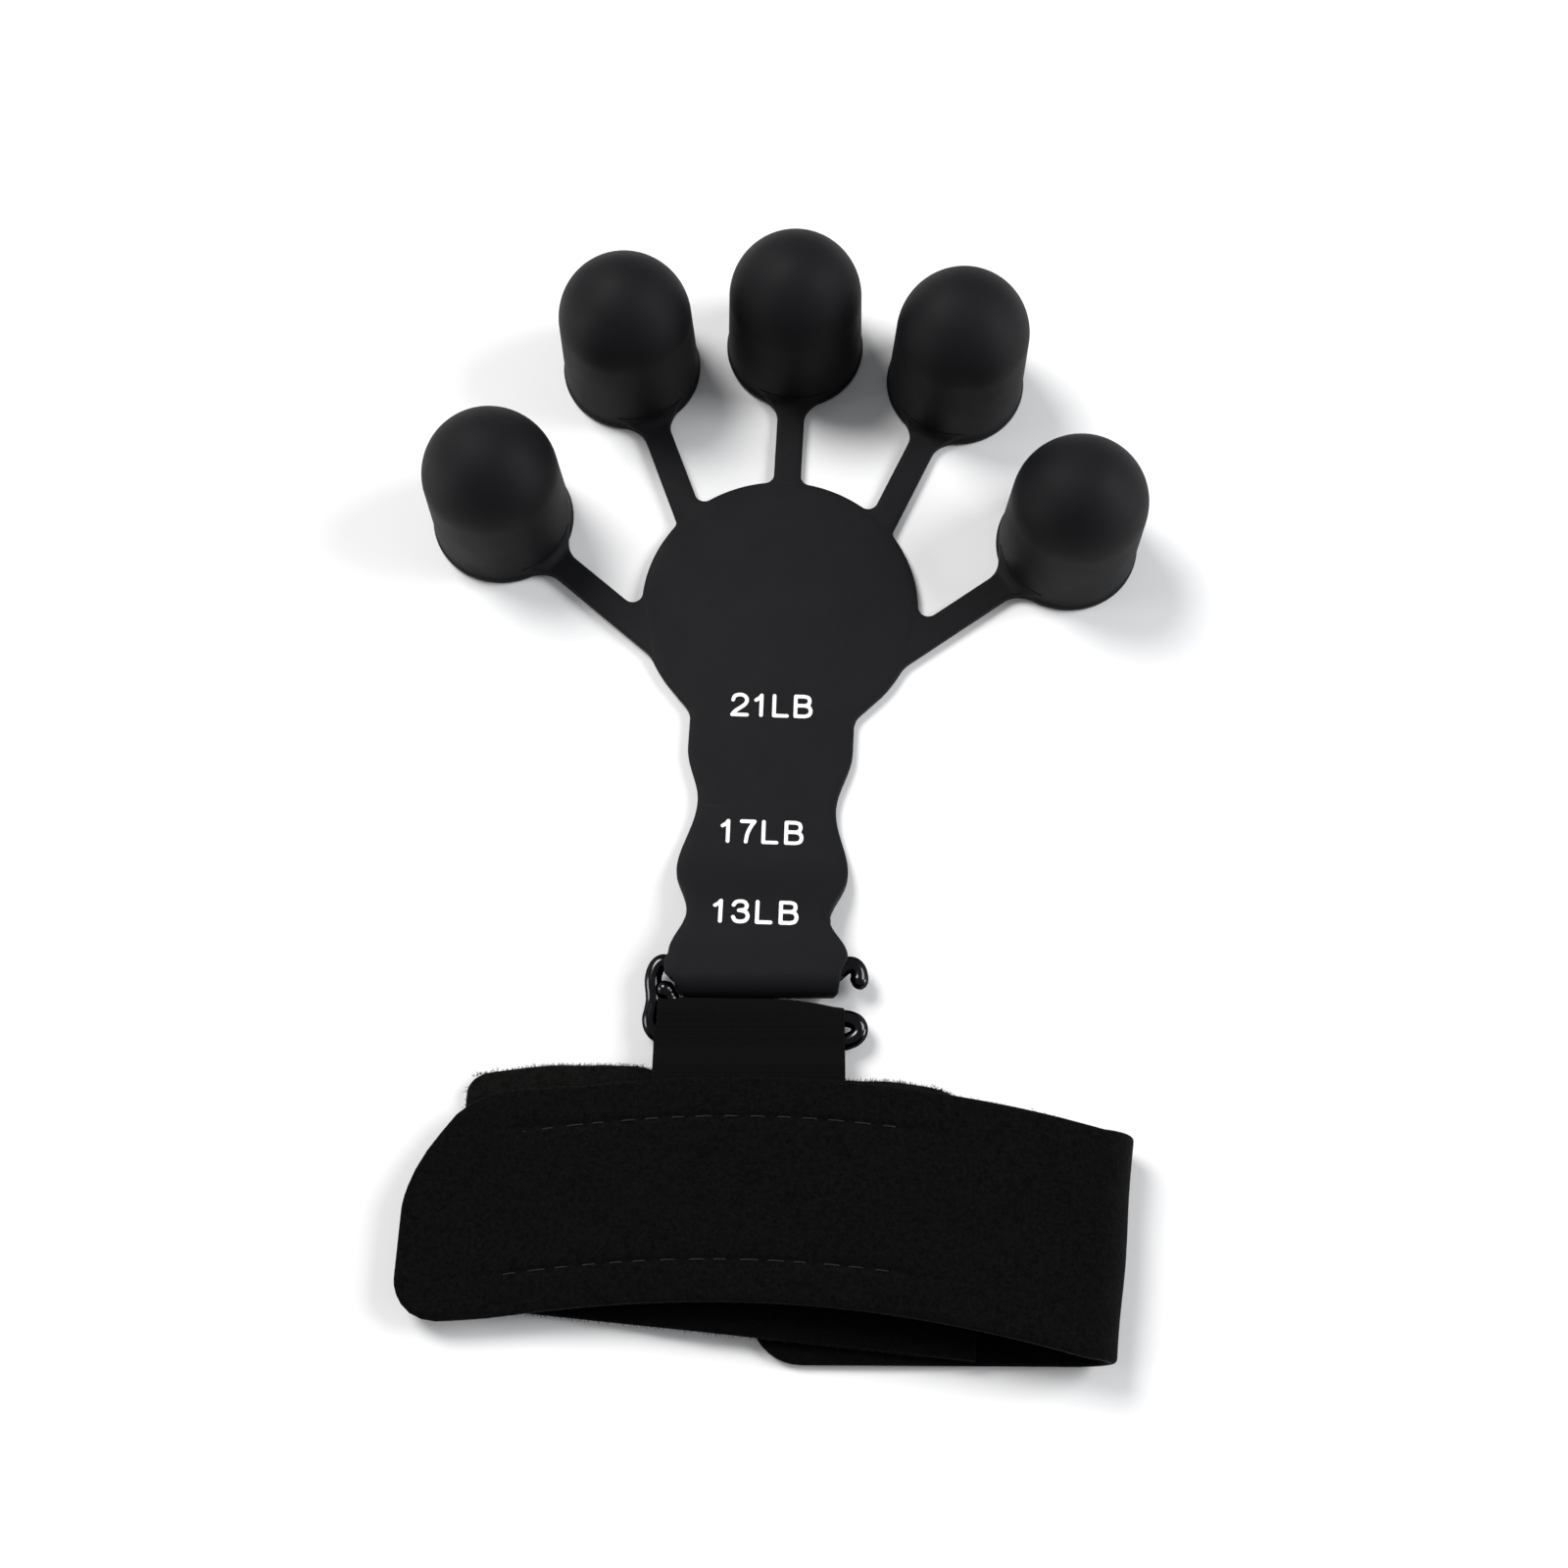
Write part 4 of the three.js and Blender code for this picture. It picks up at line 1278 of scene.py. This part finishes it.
def sewn_line(from_middle):
    """Points and normals of a sewn line on the upper layer, this far in y from its middle."""
    pts, nrm = [], []
    for x in np.linspace(-38.5, 29, 200):
        p, n = tongue_top(x, arch(x) + from_middle)
        pts.append(p - n * 0.3)
        nrm.append(n)
    return np.array(pts), np.array(nrm)


stitches_far = stitches("stitches_far", *sewn_line(STRAP_HALF - STITCH_INSET))
stitches_near = stitches("stitches_near", *sewn_line(STITCH_INSET - STRAP_HALF))


# ---------------------------------------------------------------- hook tape under the tongue's tip
TAPE_X = (-51, -34)


def tape():
    """A woven strip with rows of small stiff hooks that face down."""
    rings = []
    for x in np.linspace(*TAPE_X[::-1], 15):
        z, normal = tongue_at(x)
        p = np.array([x, 0, z]) - normal * (STRAP / 2 + 0.42)
        inset = min(TAPE_X[1] - x, x - TAPE_X[0])
        a, b = (p[0], arch(x) - 12, p[2]), (p[0], arch(x) + 12, p[2])
        rings.append(band_ring(a, b, normal, max(inset, 0.0), 0.5, 0.15, 16))
    parts = [loft(rings)]
    curl = np.array([(0, 0), (0, 0.35), (0.05, 0.62), (0.22, 0.78), (0.42, 0.7), (0.48, 0.5)])
    for i, x in enumerate(np.arange(-35.2, -50.2, -1.35)):
        z, normal = tongue_at(x)
        for j, dy in enumerate(np.arange(-11.2, 11.3, 1.25)):
            y = arch(x) + dy + (0.6 if i % 2 else 0.0)
            root = np.array([x, y, z]) - normal * (STRAP / 2 + 0.6)
            way = 1 if (i + j) % 2 else -1
            pts = [root + np.array([way * cx * 0.8, 0, 0]) - normal * cz * 0.62 for cx, cz in curl]
            parts.append(loft(tube(np.array(pts), 0.09, 5)))
    return joined(parts)


tape_hooks = make("tape_hooks", *tape(), TAPE, 50)


# ---------------------------------------------------------------- fibres on the brushed edges
def fibres(name, roots, outward, count_each, length, radius, material):
    """Short bent fibres: each is a tapering three-sided hair."""
    parts = []
    for root, out in zip(roots, outward):
        for _ in range(count_each):
            aim = out + RNG.normal(0, 0.55, 3)
            aim /= np.linalg.norm(aim)
            side = np.cross(aim, RNG.normal(0, 1, 3))
            side /= max(np.linalg.norm(side), 1e-6)
            size = length * RNG.uniform(0.45, 1.25)
            bend = RNG.uniform(-1.6, 1.6)
            p = root + RNG.normal(0, 0.12, 3)
            t = np.linspace(0, 1, 5)[:, None]
            pts = p + aim * size * t + side * size * bend * t**2 * 0.5
            parts.append(loft(tube(pts, radius, 3, [1, 0.95, 0.85, 0.7, 0.4])))
    return make(name, *joined(parts), material, 180)


def panel_fuzz():
    roots, outs = [], []
    for x in np.arange(PANEL_X[0] + 1, 37.4, 0.13):
        x += RNG.uniform(-0.08, 0.08)
        z = panel_z(x) + RNG.uniform(-0.6, 1.0)
        depth = RNG.uniform(0, 0.9) if z > panel_z(x) + 0.6 else 0.1
        roots.append(np.array([x, panel_far(x) - depth, z]))
        outs.append(np.array([0.0, 0.8, 0.45]))
    for y in np.arange(-89.5, -126, -0.4):
        roots.append(np.array([PANEL_X[0] + 0.2, y, 1.0 + RNG.uniform(-0.5, 0.8)]))
        outs.append(np.array([-0.8, 0.0, 0.4]))
    for x in np.arange(PANEL_X[0] + 1, 30, 0.35):
        roots.append(np.array([x, panel_near(x) + 0.2, panel_z(x) + RNG.uniform(-0.5, 0.9)]))
        outs.append(np.array([0.0, -0.8, 0.4]))
    return fibres("fuzz_panel", roots, outs, 3, 0.5, 0.045, PLUSH)


def tongue_fuzz():
    roots, outs = [], []
    for x in np.arange(TONGUE_TIP + 18, 50, 0.35):
        for sign in (1, -1):
            p, n = tongue_top(x, arch(x) + sign * (STRAP_HALF - RNG.uniform(0.1, 0.5)))
            roots.append(p - n * 0.35)
            outs.append(np.array([0, 0.8 * sign, 0.5]))
    return fibres("fuzz_tongue", roots, outs, 2, 0.42, 0.028, FABRIC)


fuzz_panel = panel_fuzz()
fuzz_tongue = tongue_fuzz()


# ---------------------------------------------------------------- riding and replacing
def point(x, y, z=0.9):
    return metres((x, y, z))


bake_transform(skin_palm)
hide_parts("palm_pad")
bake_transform(skin_arm)
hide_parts("arm_upper")
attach(skin_roll, "arm_lower")
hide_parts("arm_lower")
for piece in (mark_17, mark_13):
    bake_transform(piece)
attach(mark_21, "palm")
for name, angle, reach in FINGERS:
    away = np.array([math.sin(angle * RAD), math.cos(angle * RAD)])

    def along(q):
        return point(*(FAN + away * q))

    root, cup = finger_pieces[name], cup_pieces[name]
    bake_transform(root)
    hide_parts(f"strip_{name}")
    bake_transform(cup)
    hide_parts(f"cup_{name}")

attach(wire_hook, "hook_end")
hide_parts("double_hook")
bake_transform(loop_elastic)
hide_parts("elastic_loop")
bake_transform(base_elastic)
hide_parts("elastic_base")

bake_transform(band_fold)
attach(band_lower, "wrist_strap")
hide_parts("strap_lower")
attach(band_panel, "wrist_strap")
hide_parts("strap_panel")
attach(fuzz_panel, "wrist_strap")
for piece in (band_tongue, stitches_far, stitches_near, tape_hooks, fuzz_tongue):
    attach(piece, "strap_flap")
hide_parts("strap_tongue")
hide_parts("strap_hook_patch")


# ---------------------------------------------------------------- floor, light and camera
def floor():
    mesh = bpy.data.meshes.new("floor")
    half, z = 4.0, -0.0002
    corners = [(x * half, y * half, z) for x, y in ((-1, -1), (1, -1), (1, 1), (-1, 1))]
    mesh.from_pydata(corners, [], [(0, 1, 2, 3)])
    n = Nodes("floor_paper")
    tone = n.noise(60, 3)
    colour = n.colours(tone, (0.9, 0.9, 0.905), (0.93, 0.93, 0.93))
    rough = n.spread(tone, 0.85, 0.95)
    grain = n.bump(n.noise(1.0), 0.01, 0.1)
    mesh.materials.append(n.finish(colour, rough, grain, Specular_IOR_Level=0.1))
    obj = add_object("floor", mesh)


def area_light(name, place, target, size, power, colour=(1, 1, 1)):
    data = bpy.data.lights.new(name, "AREA")
    data.shape = "DISK"
    data.size = size
    data.energy = power
    data.color = colour
    obj = add_object(name, data)
    obj.location = place
    obj.rotation_mode = "QUATERNION"
    obj.rotation_quaternion = (Vector(target) - Vector(place)).to_track_quat("-Z", "Y")


floor()
area_light("key", (-0.5, 0.42, 0.85), (0, -0.03, 0), 0.5, 9.4, (1.0, 0.99, 0.98))
area_light("fill", (0.72, 0.16, 0.62), (0, -0.03, 0), 0.5, 5.6, (0.98, 0.99, 1.0))
area_light("left_panel", (-0.7, -0.12, 0.17), (0, -0.06, 0), 0.3, 1.9)
area_light("right_panel", (0.7, -0.14, 0.13), (0, -0.06, 0), 0.28, 1.8)

world = bpy.data.worlds.new("studio")
world.use_nodes = True
world.node_tree.nodes["Background"].inputs[0].default_value = (0.95, 0.97, 1.0, 1)
world.node_tree.nodes["Background"].inputs[1].default_value = 0.22
bpy.context.scene.world = world
bpy.context.scene.view_settings.view_transform = "Standard"

camera = bpy.data.cameras.new("camera")
camera.sensor_width = 36
camera.lens = 45
camera.clip_start = 0.01
camera.clip_end = 20
camera_object = add_object("camera", camera)
right = Vector((0.9986, 0.0523, 0.0))
forward = Vector((-0.0163, 0.3119, -0.9500)).normalized()
right = (right - forward * right.dot(forward)).normalized()
up = right.cross(forward)
turn3 = Matrix((right, up, -forward)).transposed()
camera_object.matrix_world = Matrix.Translation((0.0081, -0.1408, 0.328)) @ turn3.to_4x4()
bpy.context.scene.camera = camera_object
